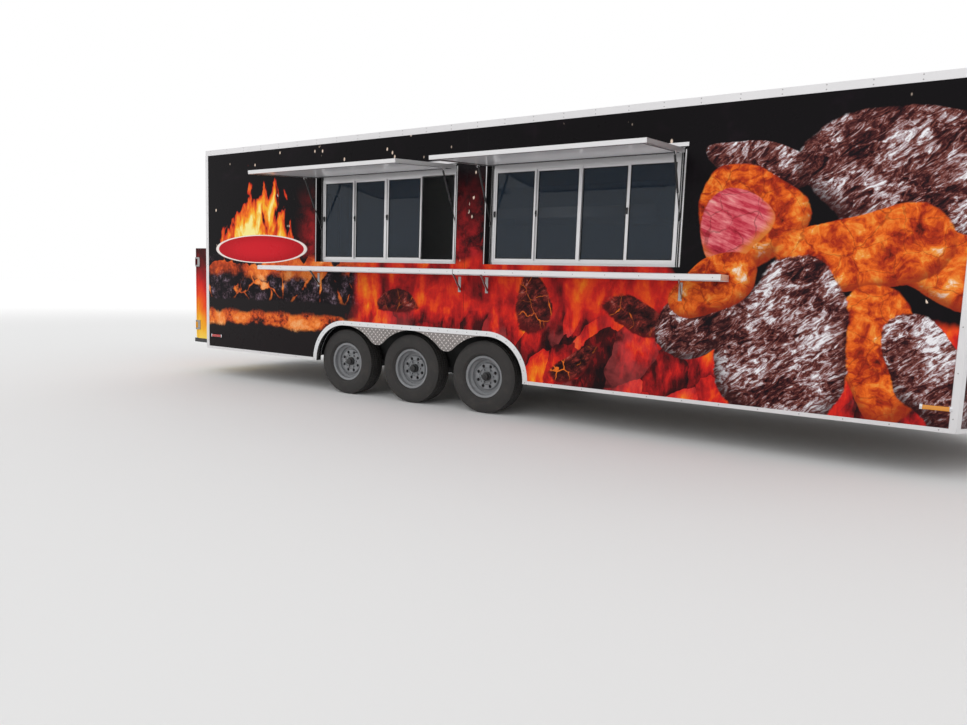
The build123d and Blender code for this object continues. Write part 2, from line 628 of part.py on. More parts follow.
def nose_wall():
    """The V-shaped front: two slanted walls and a rounded tip, notched over the tongue."""
    height = ROOF_Z + ROOF_CROWN - SKIRT_Z
    outer = extrude(nose_face(0, CORNER_X - 50), height, dir=(0, 0, 1))
    inner = extrude(nose_face(WALL, CORNER_X - 100), height, dir=(0, 0, 1))
    ring = Pos(0, 0, SKIRT_Z) * (outer - inner)
    behind = block((CORNER_X - 60, CORNER_X + SEAT_GAP), (-HALF_WIDTH - 5, HALF_WIDTH + 5),
                   (SKIRT_Z - 5, ROOF_Z + 200))
    return ring.cut(behind, over_crown(INNER_HALF, ROOF_Z, CROWN_UNDER), *tongue_rails(2.0))


def rear_wall():
    """The rear wall between the side walls, with the doorway."""
    y = INNER_HALF - SEAT_GAP
    wall = block((REAR_X, REAR_X + WALL), (-y, y), (SKIRT_Z, ROOF_Z + ROOF_CROWN))
    wall -= over_crown(INNER_HALF, ROOF_Z, CROWN_UNDER)
    return wall - door_shape(MOVING_GAP, REAR_X - 5, REAR_X + WALL + 5)


def door_shape(gap, low_x, high_x):
    """The doorway's rounded outline, grown by gap, from low_x to high_x."""
    width, height = DOOR_WIDTH + 2 * gap, DOOR_HEIGHT + 2 * gap
    middle = Plane((low_x, DOOR_CENTRE_Y, DOOR_LOW_Z + DOOR_HEIGHT / 2), x_dir=(0, 1, 0), z_dir=(1, 0, 0))
    return extrude(middle * RectangleRounded(width, height, DOOR_RADIUS + gap), high_x - low_x)


def roof():
    """The crowned roof panel, cut to the body's outline."""
    edge = ROOF_Z + ROOF_EDGE
    panel = Pos(0, 0, ROOF_Z + SEAT_GAP) * extrude(nose_face(0, REAR_X), ROOF_EDGE + ROOF_CROWN + 20,
                                                   dir=(0, 0, 1))
    return panel.cut(over_crown(HALF_WIDTH, edge, ROOF_CROWN),
                     under_crown(INNER_HALF, ROOF_Z + SEAT_GAP, CROWN_UNDER))


def turn_x(point, axis, angle):
    """A (y, z) point turned by an angle in degrees about a pin along X."""
    y, z = point[0] - axis[0], point[1] - axis[1]
    c, s = cos(radians(angle)), sin(radians(angle))
    return axis[0] + y * c - z * s, axis[1] + y * s + z * c


STRUT_HEAD_CLOSED = (-HALF_WIDTH + HATCH_THICKNESS + STRUT_HEAD_STANDOFF, HATCH_AXIS[1] - STRUT_HEAD_DROP)
STRUT_HEAD = turn_x(STRUT_HEAD_CLOSED, HATCH_AXIS, -HATCH_SWING)
STRUT_CLOSED = hypot(STRUT_HEAD_CLOSED[0] - STRUT_FOOT[0], STRUT_HEAD_CLOSED[1] - STRUT_FOOT[1])
STRUT_BODY_LENGTH = STRUT_CLOSED - STRUT_BODY_MARGIN
STRUT_ROD_LENGTH = STRUT_CLOSED - STRUT_ROD_MARGIN


def opened(shape):
    """A shape of the closed hatch, turned up to where it stands open."""
    y, z = HATCH_AXIS
    return Pos(0, y, z) * Rot(-HATCH_SWING, 0, 0) * Pos(0, -y, -z) * shape


def frame_ring(x, z, y, face_x, face_z):
    """A rectangular ring: outer x and z spans, y span, and the widths of its stiles and rails."""
    inner_x = (x[0] + face_x, x[1] - face_x)
    inner_z = (z[0] + face_z, z[1] - face_z)
    return block(x, y, z) - block(inner_x, (min(y) - 1, max(y) + 1), inner_z)


def sash_spans(bay):
    """The x span of each sash of a bay, from the rear to the front, and its clear glass span."""
    x = bay_x(bay["centre"])
    pitch = SASH_WIDTH / SASH_PANES
    return [(x - SASH_WIDTH / 2 + k * pitch,
             x - SASH_WIDTH / 2 + (k + 1) * pitch) for k in range(SASH_PANES)]


def window_frame(bay):
    """The window's flat jamb ring, outer frame, mullions and sash bars in one aluminium frame."""
    x = bay_x(bay["centre"])
    half = OPENING_WIDTH / 2 - SEAT_GAP
    front = -HALF_WIDTH + SASH_SETBACK
    low, high = OPENING_LOW_Z + SASH_SILL_RISE, HINGE_Z - SASH_HEAD_DROP
    jamb_z = (OPENING_LOW_Z + SEAT_GAP, HINGE_Z - SEAT_GAP)
    sash_x = (x - SASH_WIDTH / 2, x + SASH_WIDTH / 2)
    frame = block((x - half, x + half), (front, front + 10), jamb_z)
    frame -= block(sash_x, (front - 1, front + 11), (low, high))
    frame += frame_ring((sash_x[0] - 6, sash_x[1] + 6), (low - 6, high + 6),
                        (front - 6, front + SASH_DEPTH),
                        6 + SASH_FACE, 6 + SASH_FACE)
    spans = sash_spans(bay)
    sash_z = (low + SASH_FACE - 1, high - SASH_FACE + 1)
    last = SASH_PANES - 1
    for k, span in enumerate(spans):
        sunk = k in (0, last)
        near = front + (2 if sunk else 22)
        if bay["slid_open"] and k == last:
            continue
        sash = (span[0] + (0 if k else SASH_FACE - 1), span[1] - (0 if k < last else SASH_FACE - 1))
        frame += frame_ring(sash, sash_z, (near, near + 16), SASH_STILE / 2, SASH_STILE / 2)
    if bay["slid_open"]:
        sash = (spans[last - 1][0] + SASH_SHIFT, spans[last - 1][1] + SASH_SHIFT)
        frame += frame_ring(sash, sash_z, (front + 2, front + 18), SASH_STILE / 2, SASH_STILE / 2)
    middle = spans[1][1]
    frame += block((middle - SASH_STILE / 2, middle + SASH_STILE / 2), (front, front + SASH_DEPTH),
                   (low, high))
    return frame


def window_glass(bay):
    """The dark glass panes, one solid for each sash."""
    front = -HALF_WIDTH + SASH_SETBACK
    low, high = OPENING_LOW_Z + SASH_SILL_RISE, HINGE_Z - SASH_HEAD_DROP
    rail = SASH_FACE - 1 + SASH_STILE / 2
    panes = []
    spans = sash_spans(bay)
    last = SASH_PANES - 1
    for k, span in enumerate(spans):
        near = front + (2 if k in (0, last) else 22) + 6
        slid = bay["slid_open"] and k == last
        if slid:
            span = (spans[k - 1][0] + SASH_SHIFT, spans[k - 1][1] + SASH_SHIFT)
            near = front + 8
        start = span[0] + SASH_STILE / 2 + (SASH_FACE - 1 if k == 0 else 0)
        end = span[1] - SASH_STILE / 2 - (SASH_FACE - 1 if k == last and not slid else 0)
        panes.append(block((start, end), (near, near + GLASS), (low + rail, high - rail)))
    return panes


def hatch_span(bay):
    """The closed hatch's x and z spans."""
    x = bay_x(bay["centre"])
    half = OPENING_WIDTH / 2 - MOVING_GAP
    return (x - half, x + half), (OPENING_LOW_Z + MOVING_GAP, HINGE_Z - MOVING_GAP)


def hatch_frame(bay):
    """The hatch's edge channel, its hinge leaf with the knuckle and the strut brackets."""
    x, z = hatch_span(bay)
    face = -HALF_WIDTH
    ring = frame_ring(x, z, (face, face + HATCH_THICKNESS), HATCH_EDGE, HATCH_EDGE)
    ring += block(x, (face - 2, face), (z[1] - 26, HATCH_AXIS[1]))
    ring += rod((x[0], *HATCH_AXIS), (x[1], *HATCH_AXIS), 3.5)
    for end in (-1, 1):
        near = bay_x(bay["centre"]) + end * (STRUT_X + STRUT_EYE_WIDTH / 2 + SEAT_GAP)
        pin_y, pin_z = STRUT_HEAD_CLOSED
        ring += block((near, near + end * 5), (face + HATCH_THICKNESS - 1, pin_y), (pin_z - 6, pin_z + 34))
        ring += rod((near, pin_y, pin_z), (near + end * 5, pin_y, pin_z), 9)
    return opened(ring)


def hatch_panel(bay):
    """The hatch's flat panel, held in its edge channel."""
    x, z = hatch_span(bay)
    inset = HATCH_EDGE
    return opened(block((x[0] + inset, x[1] - inset), (-HALF_WIDTH + 2, -HALF_WIDTH + HATCH_THICKNESS - 4),
                        (z[0] + inset, z[1] - inset)))


def strut_line(bay, end):
    """A strut's x, its head on the hatch, its foot on the jamb and the unit vector between them."""
    x = bay_x(bay["centre"]) + end * STRUT_X
    head = Vector(x, *STRUT_HEAD)
    foot = Vector(x, *STRUT_FOOT)
    return head, foot, (foot - head).normalized()


def strut_cylinders(bay):
    """The bodies of a hatch's two gas struts, hung from the hatch."""
    solids = []
    for end in (-1, 1):
        head, _, along = strut_line(bay, end)
        top = head + along * 14
        body = rod(top, (head + along * STRUT_BODY_LENGTH), STRUT_BODY_RADIUS)
        body += rod((head - Vector(STRUT_EYE_WIDTH / 2, 0, 0)), (head + Vector(STRUT_EYE_WIDTH / 2, 0, 0)),
                    STRUT_EYE_RADIUS)
        body += rod((head + along * 4), (top + along), 4)
        body -= rod((top + along * 3), (head + along * (STRUT_BODY_LENGTH + 1)),
                    STRUT_ROD_RADIUS + SEAT_GAP)
        solids.append(body)
    return solids


def strut_rods(bay):
    """The rods of a hatch's two gas struts, with their eyes at the jamb."""
    solids = []
    for end in (-1, 1):
        _, foot, along = strut_line(bay, end)
        eye = rod((foot - Vector(STRUT_EYE_WIDTH / 2, 0, 0)), (foot + Vector(STRUT_EYE_WIDTH / 2, 0, 0)),
                  STRUT_EYE_RADIUS)
        solids.append(eye + rod((foot - along * 4), (foot - along * STRUT_ROD_LENGTH), STRUT_ROD_RADIUS))
    return solids


def strut_studs():
    """The brackets on the window jambs, beside the rods' eyes."""
    solids = []
    y, z = STRUT_FOOT
    back = -HALF_WIDTH + SASH_SETBACK
    for bay in BAYS:
        for end in (-1, 1):
            near = bay_x(bay["centre"]) + end * (STRUT_X + STRUT_EYE_WIDTH / 2 + SEAT_GAP)
            tab = block((near, near + end * 5), (y, back - SEAT_GAP), (z - 16, z + 16))
            tab += rod((near, y, z), (near + end * 5, y, z), 9)
            tab += block((near, near + end * 16), (back - 3 - SEAT_GAP, back - SEAT_GAP), (z - 24, z + 24))
            solids.append(tab)
    return solids


def counter_span(bay):
    """The counter's x span."""
    return bay_x(bay["counter_rear"]), bay_x(bay["counter_front"])


def counter(bay):
    """The fold-down counter: a shallow pan of sheet, its hinge knuckle and the braces' tabs."""
    x = counter_span(bay)
    near, far = -HALF_WIDTH - COUNTER_WALL_GAP, -HALF_WIDTH - COUNTER_WALL_GAP - COUNTER_DEPTH
    low = COUNTER_Z - COUNTER_LIP
    pan = block(x, (far, near), (low, COUNTER_Z))
    pan = fillet(pan.edges().filter_by(Axis.X).group_by(Axis.Z)[-1].sort_by(Axis.Y)[0], 8)
    t = COUNTER_SHEET
    pan -= block((x[0] + t, x[1] - t), (far + t, near - t), (low - 1, COUNTER_Z - t))
    pan += rod((x[0], *COUNTER_AXIS), (x[1], *COUNTER_AXIS), COUNTER_KNUCKLE)
    y, z = BRACE_HEAD
    for place in bay["braces"]:
        start = bay_x(place) + 2 * BRACE_THICKNESS + 2 * SEAT_GAP
        tab = block((start, start + 4), (y - 14, y + 14), (z, COUNTER_Z - t + 1))
        pan += tab + rod((start, y, z), (start + 4, y, z), 14)
    return pan


def link(x, start, end, radius):
    """A flat link with round ends between two (y, z) points, from x over one thickness."""
    along = Vector(0, end[0] - start[0], end[1] - start[1])
    side = Vector(0, -along.Z, along.Y).normalized() * radius
    a, b = Vector(x, *start), Vector(x, *end)
    bar = plate([(a + side), (b + side), (b - side), (a - side)],
                BRACE_THICKNESS, (1, 0, 0))
    for place in (start, end):
        bar += rod((x, *place), (x + BRACE_THICKNESS, *place), radius)
    return bar


def brace_elbow():
    """The elbow between a brace's lower and upper links, where the folded brace lies flat."""
    folded = turn_x(BRACE_HEAD, COUNTER_AXIS, 90)
    length = hypot(BRACE_HEAD[0] - BRACE_FOOT[0], BRACE_HEAD[1] - BRACE_FOOT[1])
    share = (length - (BRACE_FOOT[1] - folded[1])) / 2 / length
    return (BRACE_FOOT[0] + (BRACE_HEAD[0] - BRACE_FOOT[0]) * share,
            BRACE_FOOT[1] + (BRACE_HEAD[1] - BRACE_FOOT[1]) * share)


def brace_lower(bay):
    """The lower links of a counter's braces, hinged on the wall."""
    return [link(bay_x(place), BRACE_FOOT, brace_elbow(), BRACE_WIDTH / 2) for place in bay["braces"]]


def brace_upper(bay):
    """The upper links of a counter's braces, hinged under the counter."""
    return [link(bay_x(place) + BRACE_THICKNESS + SEAT_GAP, brace_elbow(), BRACE_HEAD, BRACE_WIDTH / 2)
            for place in bay["braces"]]


def counter_brackets():
    """The hinge leaves and the braces' wall tabs under the counters."""
    solids = []
    y, z = BRACE_FOOT
    face = -HALF_WIDTH - SEAT_GAP
    for bay in BAYS:
        x = counter_span(bay)
        low = COUNTER_AXIS[1] - COUNTER_KNUCKLE
        solids.append(block((x[0] + 20, x[1] - 20), (face - 2, face),
                            (low, low + COUNTER_KNUCKLE + COUNTER_LEAF)))
        for place in bay["braces"]:
            start = bay_x(place) - SEAT_GAP
            tab = block((start - 4, start), (y, face), (z - 12, z + 12))
            tab += rod((start - 4, y, z), (start, y, z), 12)
            tab += block((start - 30, start), (face - 3, face), (z - 30, z - 30 + BRACE_PLATE_LENGTH))
            solids.append(tab)
    return solids


def hatch_rails():
    """The drip rail above each hatch."""
    solids = []
    face = -HALF_WIDTH - SEAT_GAP
    for bay in BAYS:
        x, _ = hatch_span(bay)
        low = HINGE_Z + 12
        rail = block((x[0] - 30, x[1] + 30), (face - 3, face), (low, low + 34))
        rail += block((x[0] - 30, x[1] + 30), (face - 16, face), (low, low + 3))
        solids.append(rail)
    return solids


def fender_flange():
    """The polished flange round both wheel arches, with its inward lip."""
    solids = []
    inner = ARCH_RADIUS - FLANGE_WIDTH
    for side in (-1, 1):
        face = HALF_WIDTH + SEAT_GAP
        low, high = sorted((side * face, side * (face + FLANGE_THICKNESS)))
        ring = across(arch_outline(ARCH_RADIUS, SKIRT_Z), low, high)
        back = side * (face + FLANGE_THICKNESS - FLANGE_LIP)
        low, high = sorted((back, side * (face + FLANGE_THICKNESS)))
        ring += across(arch_outline(inner + FLANGE_THICKNESS, SKIRT_Z), low, high)
        ring -= across(arch_outline(inner, GROUND), -HALF_WIDTH - 60, HALF_WIDTH + 60)
        solids.append(ring)
    return solids


def fender_plates():
    """The scalloped plates between the wheels, just under the arch's flange."""
    solids = []
    top = AXLE_Z + ARCH_RADIUS - FLANGE_WIDTH - SEAT_GAP
    centre_z = GROUND + SCALLOP_APEX - SCALLOP_RADIUS
    for side in (-1, 1):
        low, high = sorted((side * (HALF_WIDTH - FLANGE_THICKNESS), side * HALF_WIDTH))
        for tip_x in (ARCH_X - WHEEL_PITCH / 2, ARCH_X + WHEEL_PITCH / 2):
            with BuildSketch(Plane.XZ) as sketch:
                with Locations((tip_x, top - FENDER_TIP_HEIGHT / 2)):
                    Rectangle(WHEEL_PITCH - FENDER_TIP_MARGIN, FENDER_TIP_HEIGHT)
                with Locations((tip_x - WHEEL_PITCH / 2, centre_z), (tip_x + WHEEL_PITCH / 2, centre_z)):
                    Circle(SCALLOP_RADIUS, mode=Mode.SUBTRACT)
                tip = [v for v in sketch.vertices() if abs(v.X - tip_x) < 1]
                fillet(tip, SCALLOP_FILLET)
            solids.append(across(sketch.sketch, low, high))
    return solids


def ring_trim(low, high, thickness):
    """A trim strip round the sides and the nose, between two heights, in lengths that meet at its bends."""
    outer = extrude(nose_face(-thickness - SEAT_GAP, REAR_X), high - low, dir=(0, 0, 1))
    inner = extrude(nose_face(-SEAT_GAP, REAR_X - 10), high - low, dir=(0, 0, 1))
    strip = Pos(0, 0, low) * (outer - inner)
    tip_x = plan_outline(0)[2]
    for joint_x in (CORNER_X, tip_x - NOSE_TIP_RADIUS):
        strip -= block((joint_x, joint_x + TRIM_JOINT), (-HALF_WIDTH - 60, HALF_WIDTH + 60),
                       (low - 1, high + 1))
    return strip


def skirt_trim():
    """The strip along the bottom edge of the sides, the nose and the rear."""
    low, high = SKIRT_Z, SKIRT_Z + SKIRT_TRIM_HEIGHT
    trim = ring_trim(low, high, TRIM_THICKNESS)
    trim -= across(arch_outline(ARCH_RADIUS + SEAT_GAP, GROUND), -HALF_WIDTH - 60, HALF_WIDTH + 60)
    rear = block((REAR_X - SEAT_GAP - TRIM_THICKNESS, REAR_X - SEAT_GAP), (-HALF_WIDTH, HALF_WIDTH),
                 (low, high))
    return trim.cut(*tongue_rails(2.0)).solids() + [rear]


def roof_trim():
    """The strip along the roof's edge."""
    low, high = ROOF_Z + ROOF_EDGE - 62, ROOF_Z + ROOF_EDGE
    trim = ring_trim(low, high, TRIM_THICKNESS)
    rear = block((REAR_X - SEAT_GAP - TRIM_THICKNESS, REAR_X - SEAT_GAP), (-HALF_WIDTH, HALF_WIDTH),
                 (low, high))
    return trim.solids() + [rear]


def corner_trims():
    """Upright strips over the body's two rear and two front corners."""
    low, high = SKIRT_Z + SKIRT_TRIM_HEIGHT + SEAT_GAP, ROOF_Z + ROOF_EDGE - 62 - SEAT_GAP
    inner = plan_outline(-SEAT_GAP)
    outer = plan_outline(-SEAT_GAP - TRIM_THICKNESS)
    run, rise = HALF_WIDTH - NOSE_TIP_WIDTH / 2, NOSE_LENGTH
    slant = Vector(rise, -run).normalized() * CORNER_TRIM_WIDTH
    solids = []
    for side in (-1, 1):
        points = []
        for corner_x, y, _, _ in (inner, outer):
            points.append([(corner_x - CORNER_TRIM_WIDTH, y), (corner_x, y),
                           (corner_x + slant.X, y + slant.Y)])
        outline = [(x, side * y, low) for x, y in points[0] + points[1][::-1]]
        solids.append(plate(outline, high - low, (0, 0, 1)))
        face = HALF_WIDTH + SEAT_GAP
        back = REAR_X - SEAT_GAP - TRIM_THICKNESS
        angle = block((back, REAR_X + CORNER_TRIM_WIDTH), (side * face, side * (face + TRIM_THICKNESS)),
                      (low, high))
        angle += block((back, REAR_X - SEAT_GAP),
                       (side * (face + TRIM_THICKNESS), side * (HALF_WIDTH - CORNER_TRIM_WIDTH)),
                       (low, high))
        solids.append(angle)
    return solids


def rear_door():
    """The rear door: leaf, latch bar and three hinge barrels."""
    leaf = door_shape(0, REAR_X, REAR_X + DOOR_THICKNESS)
    bar_y = DOOR_CENTRE_Y - DOOR_WIDTH / 2 + 70
    x = REAR_X
    middle = DOOR_LOW_Z + DOOR_HEIGHT * 0.46
    leaf += block((x - 14, x), (bar_y - 26, bar_y + 26), (middle - 90, middle + 90))
    leaf += rod((x - 40, bar_y, middle - 60), (x - 40, bar_y, middle + 60), 9)
    for end in (-1, 1):
        leaf += rod((x - 40, bar_y, middle + end * 60), (x - 13, bar_y, middle + end * 60), 9)
    axis_x, axis_y = DOOR_AXIS
    for share in DOOR_HINGES:
        z = DOOR_LOW_Z + DOOR_HEIGHT * share
        leaf += rod((axis_x, axis_y, z - HINGE_BARREL / 2), (axis_x, axis_y, z + HINGE_BARREL / 2),
                    HINGE_KNUCKLE)
        leaf += block((x - 4, x), (axis_y - 60, axis_y - 7), (z - HINGE_BARREL / 2, z + HINGE_BARREL / 2))
        leaf += block((axis_x - 2, x), (axis_y - 8, axis_y - 2),
                      (z - HINGE_BARREL / 2, z + HINGE_BARREL / 2))
        leaf -= rod((axis_x, axis_y, z - 60), (axis_x, axis_y, z + 60), HINGE_PIN + SEAT_GAP)
    return leaf


def fixed_hinge(axis, plate_box, z):
    """A fixed hinge half: its leaf, two knuckles and the pin that the moving barrel turns on."""
    hinge = rod((*axis, z - 60), (*axis, z + 60), HINGE_PIN)
    for end in (-1, 1):
        near, far = z + end * (HINGE_BARREL / 2 + SEAT_GAP), z + end * 60
        hinge += rod((*axis, near), (*axis, far), HINGE_KNUCKLE)
        if plate_box[1][0] > axis[1]:
            hinge += block((axis[0], plate_box[0][1]), (axis[1], plate_box[1][0] + 1), (near, far))
        else:
            hinge += block((axis[0], plate_box[0][0] + 1), (axis[1] - 2, plate_box[1][1]), (near, far))
    return hinge + block(*plate_box, (z - 60, z + 60))


def door_leaves():
    """The fixed hinge halves of the rear door and of the cabinet's door."""
    solids = []
    axis_x, axis_y = DOOR_AXIS
    for share in DOOR_HINGES:
        z = DOOR_LOW_Z + DOOR_HEIGHT * share
        plate_box = ((REAR_X - 4 - SEAT_GAP, REAR_X - SEAT_GAP), (axis_y + 12, axis_y + 58))
        solids.append(fixed_hinge(DOOR_AXIS, plate_box, z))
    for share in CABINET_HINGES:
        z = GROUND + PLATFORM_HEIGHT + (CABINET_TOP_HEIGHT - PLATFORM_HEIGHT) * share
        start = CABINET_X[0] + CABINET_SHEET + MOVING_GAP + 5
        plate_box = ((start, start + 45), (CABINET_Y[0] - 4 - SEAT_GAP, CABINET_Y[0] - SEAT_GAP))
        solids.append(fixed_hinge(CABINET_AXIS, plate_box, z))
    return solids


def platform():
    """The rear platform: an open frame with a step in front of the door."""
    x = (REAR_X - SEAT_GAP - PLATFORM_LENGTH, REAR_X - SEAT_GAP - TRIM_THICKNESS)
    low, high = GROUND + PLATFORM_HEIGHT - PLATFORM_THICKNESS, GROUND + PLATFORM_HEIGHT
    y = (CABINET_Y[0], DOOR_CENTRE_Y + DOOR_WIDTH / 2)
    frame = frame_ring_flat(x, y, (low, high), 50)
    frame += block((x[0] + 25, x[1] - 25), (CABINET_Y[1] + 10, y[1] - 25), (high - 6, high))
    for place in (CABINET_Y[1] + 5, (CABINET_Y[0] + CABINET_Y[1]) / 2):
        frame += block((x[0] + 20, x[1] - 20), (place - 20, place + 20), (low, high))
    return frame


def frame_ring_flat(x, y, z, width):
    """A level rectangular ring."""
    return block(x, y, z) - block((x[0] + width, x[1] - width), (y[0] + width, y[1] - width),
                                  (z[0] - 1, z[1] + 1))


def cabinet():
    """The utility cabinet on the platform, open towards the rear behind its door."""
    x = (CABINET_X[0] + CABINET_SHEET + MOVING_GAP, CABINET_X[1])
    z = (GROUND + PLATFORM_HEIGHT + SEAT_GAP, GROUND + CABINET_TOP_HEIGHT)
    t = CABINET_SHEET
    shell = block(x, CABINET_Y, z)
    return shell - block((x[0] - 1, x[1] - t), (CABINET_Y[0] + t, CABINET_Y[1] - t), (z[0] + t, z[1] - t))


def cabinet_door():
    """The cabinet's door over its rear face, with a latch and a hinge barrel."""
    x = (CABINET_X[0], CABINET_X[0] + CABINET_SHEET)
    z = (GROUND + PLATFORM_HEIGHT + MOVING_GAP, GROUND + CABINET_TOP_HEIGHT)
    leaf = block(x, CABINET_Y, z)
    leaf += block((x[0] - 16, x[0]), (CABINET_Y[1] - 110, CABINET_Y[1] - 60),
                  ((z[0] + z[1]) / 2 - 60, (z[0] + z[1]) / 2 + 60))
    axis_x, axis_y = CABINET_AXIS
    for share in CABINET_HINGES:
        middle = GROUND + PLATFORM_HEIGHT + (CABINET_TOP_HEIGHT - PLATFORM_HEIGHT) * share
        span = (middle - HINGE_BARREL / 2, middle + HINGE_BARREL / 2)
        leaf += rod((axis_x, axis_y, span[0]), (axis_x, axis_y, span[1]), HINGE_KNUCKLE)
        leaf += block((x[0], x[0] + 12), (axis_y - 2, CABINET_Y[0] + 1), span)
        leaf -= rod((axis_x, axis_y, middle - 60), (axis_x, axis_y, middle + 60), HINGE_PIN + SEAT_GAP)
    return leaf


def marker_lamp(x, side):
    """A side marker lamp, level along the lower wall."""
    z = GROUND + LAMP_LEVEL
    y = (side * (HALF_WIDTH + SEAT_GAP), side * (HALF_WIDTH + SEAT_GAP + LAMP_DEPTH))
    lamp = block((x - LAMP_LENGTH / 2, x + LAMP_LENGTH / 2), y, (z - LAMP_HEIGHT / 2, z + LAMP_HEIGHT / 2))
    outer = lamp.faces().sort_by(Axis.Y)[0 if side < 0 else -1]
    return fillet(outer.edges(), 7)


def tail_lamps():
    """Two round lamps on each side of the rear wall and three small ones above the door."""
    solids = []
    back = REAR_X - SEAT_GAP
    for side in (-1, 1):
        for height in TAIL_LAMP_HEIGHTS:
            z = GROUND + height
            y = side * TAIL_LAMP_Y
            lamp = rod((back, y, z), (back - 24, y, z), TAIL_LAMP_RADIUS)
            solids.append(fillet(lamp.edges().group_by(Axis.X)[0], 8))
    for k in (-1, 0, 1):
        solids.append(block((back, back - 16), (k * 180 - 40, k * 180 + 40), (ROOF_Z - 90, ROOF_Z - 62)))
    return solids


def plate_holder():
    """The blank registration plate on its bracket under the platform's rear edge."""
    x = REAR_X - SEAT_GAP - PLATFORM_LENGTH
    low = GROUND + PLATFORM_HEIGHT - PLATFORM_THICKNESS
    y = DOOR_CENTRE_Y
    holder = block((x - 3, x - SEAT_GAP), (y - 155, y + 155), (low - 110, low + 45))
    return fillet(holder.edges().filter_by(Axis.X), 12)


def exhaust():
    """The roof exhaust: a curb, a short stack and a round cap."""
    x, y = EXHAUST_PLACE
    base = ROOF_Z + ROOF_EDGE + ROOF_CROWN * (1 - (y / HALF_WIDTH) ** 2) - 12
    curb_top = base + EXHAUST_CURB_HEIGHT
    stack_top = curb_top + EXHAUST_STACK_HEIGHT
    stack = Pos(x, y, base + EXHAUST_CURB_HEIGHT / 2) * Box(EXHAUST_CURB, EXHAUST_CURB, EXHAUST_CURB_HEIGHT)
    pipe_place = Pos(x, y, (curb_top + stack_top) / 2 - 10)
    stack += pipe_place * Cylinder(EXHAUST_STACK_RADIUS, EXHAUST_STACK_HEIGHT + 20)
    cap_place = Pos(x, y, stack_top + EXHAUST_CAP_HEIGHT / 2 - 10)
    cap = cap_place * Cylinder(EXHAUST_CAP_RADIUS, EXHAUST_CAP_HEIGHT)
    cap = fillet(cap.edges().group_by(Axis.Z)[-1], 30)
    return stack + cap - roof()


def worktop():
    """The worktop on the serving side, on its cupboard."""
    x = (bay_x(BAYS[0]["counter_rear"]), bay_x(BAYS[1]["counter_front"]))
    y = (-INNER_HALF + WORKTOP_GAP, -INNER_HALF + WORKTOP_GAP + WORKTOP_DEPTH)
    low = GROUND + WHEEL_BOX_HEIGHT + SEAT_GAP
    top = low + 70
    return block(x, y, (low, top))


def cook_line():
    """The cooking appliances along the far wall."""
    y = (INNER_HALF - SEAT_GAP - COOK_DEPTH, INNER_HALF - SEAT_GAP)
    low = GROUND + WHEEL_BOX_HEIGHT + SEAT_GAP
    solids = []
    for unit in COOK_UNITS:
        x = bay_x(unit["start"])
        solids.append(block((x, x + unit["width"]), y, (low, FLOOR_Z + unit["height"])))
    return solids


def hood():
    """The extraction hood over the cooking appliances, a sheet shell open at the bottom."""
    x = (bay_x(COOK_UNITS[0]["start"]), bay_x(COOK_UNITS[-1]["start"]) + COOK_UNITS[-1]["width"])
    low = FLOOR_Z + HOOD_HEIGHT
    t = HOOD_SHEET

    def profile(start, inset, drop):
        back = INNER_HALF - SEAT_GAP - inset
        face = INNER_HALF - SEAT_GAP - HOOD_DEPTH + inset
        shoulder = INNER_HALF - SEAT_GAP - HOOD_TOP_DEPTH + inset
        lip, top = low + HOOD_LIP - inset, low + HOOD_RISE - inset
        outline = ((back, low - drop), (face, low - drop), (face, lip), (shoulder, top), (back, top))
        return [(start, y, z) for y, z in outline]

    shell = plate(profile(x[0], 0, 0), x[1] - x[0], (1, 0, 0))
    return shell - plate(profile(x[0] + t, t, 1), x[1] - x[0] - 2 * t, (1, 0, 0))


os.makedirs("parts", exist_ok=True)

save("chassis_frame", *main_frame())
save("tongue_frame", tongue())
save("coupler", coupler())
save("jack_tube", jack_tube())
save("jack_leg", jack_leg())
save("axle_beams", *axle_beams())
save("knuckles", *knuckles())
for number, wheel_x in enumerate(WHEEL_XS, start=1):
    for side_name, side in SIDES:
        save(f"tyre_{side_name}_{number}", tyre(wheel_x, side))
        save(f"wheel_{side_name}_{number}", rim(wheel_x, side))
save("floor", floor())
save("wheel_boxes", *wheel_boxes())
for side_name, side in SIDES:
    save(f"wall_{side_name}", *side_wall(side))
save("wall_nose", nose_wall())
save("wall_rear", rear_wall())
save("roof", roof())
save("body_trims", *roof_trim(), *skirt_trim(), *corner_trims(), *hatch_rails())
save("fender_flanges", *fender_flange())
save("fender_plates", *fender_plates())
for row in BAYS:
    name = row["name"]
    save(f"window_frame_{name}", window_frame(row))
    save(f"window_glass_{name}", *window_glass(row))
    save(f"hatch_frame_{name}", hatch_frame(row))
    save(f"hatch_panel_{name}", hatch_panel(row))
    save(f"strut_cylinders_{name}", *strut_cylinders(row))
    save(f"strut_rods_{name}", *strut_rods(row))
    save(f"counter_{name}", counter(row))
    save(f"brace_upper_{name}", *brace_upper(row))
    save(f"brace_lower_{name}", *brace_lower(row))
save("wall_brackets", *strut_studs(), *counter_brackets(), *door_leaves())
save("rear_door", rear_door())
save("rear_platform", platform())
save("utility_cabinet", cabinet())
save("cabinet_door", cabinet_door())
save("lamps_amber", marker_lamp(FRONT_LAMP_X, -1), marker_lamp(FRONT_LAMP_X, 1))
save("lamps_red", marker_lamp(REAR_LAMP_X, -1), marker_lamp(REAR_LAMP_X, 1), *tail_lamps())
save("plate_holder", plate_holder())
save("extraction", exhaust(), hood())
save("kitchen", worktop(), *cook_line())
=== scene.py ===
"""The looks of the food trailer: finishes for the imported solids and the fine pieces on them.

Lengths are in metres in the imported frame: +X forwards, +Y to the trailer's left, +Z up, and the
origin at the tow ball's socket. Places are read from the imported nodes, so a piece follows the part.
"""

from __future__ import annotations

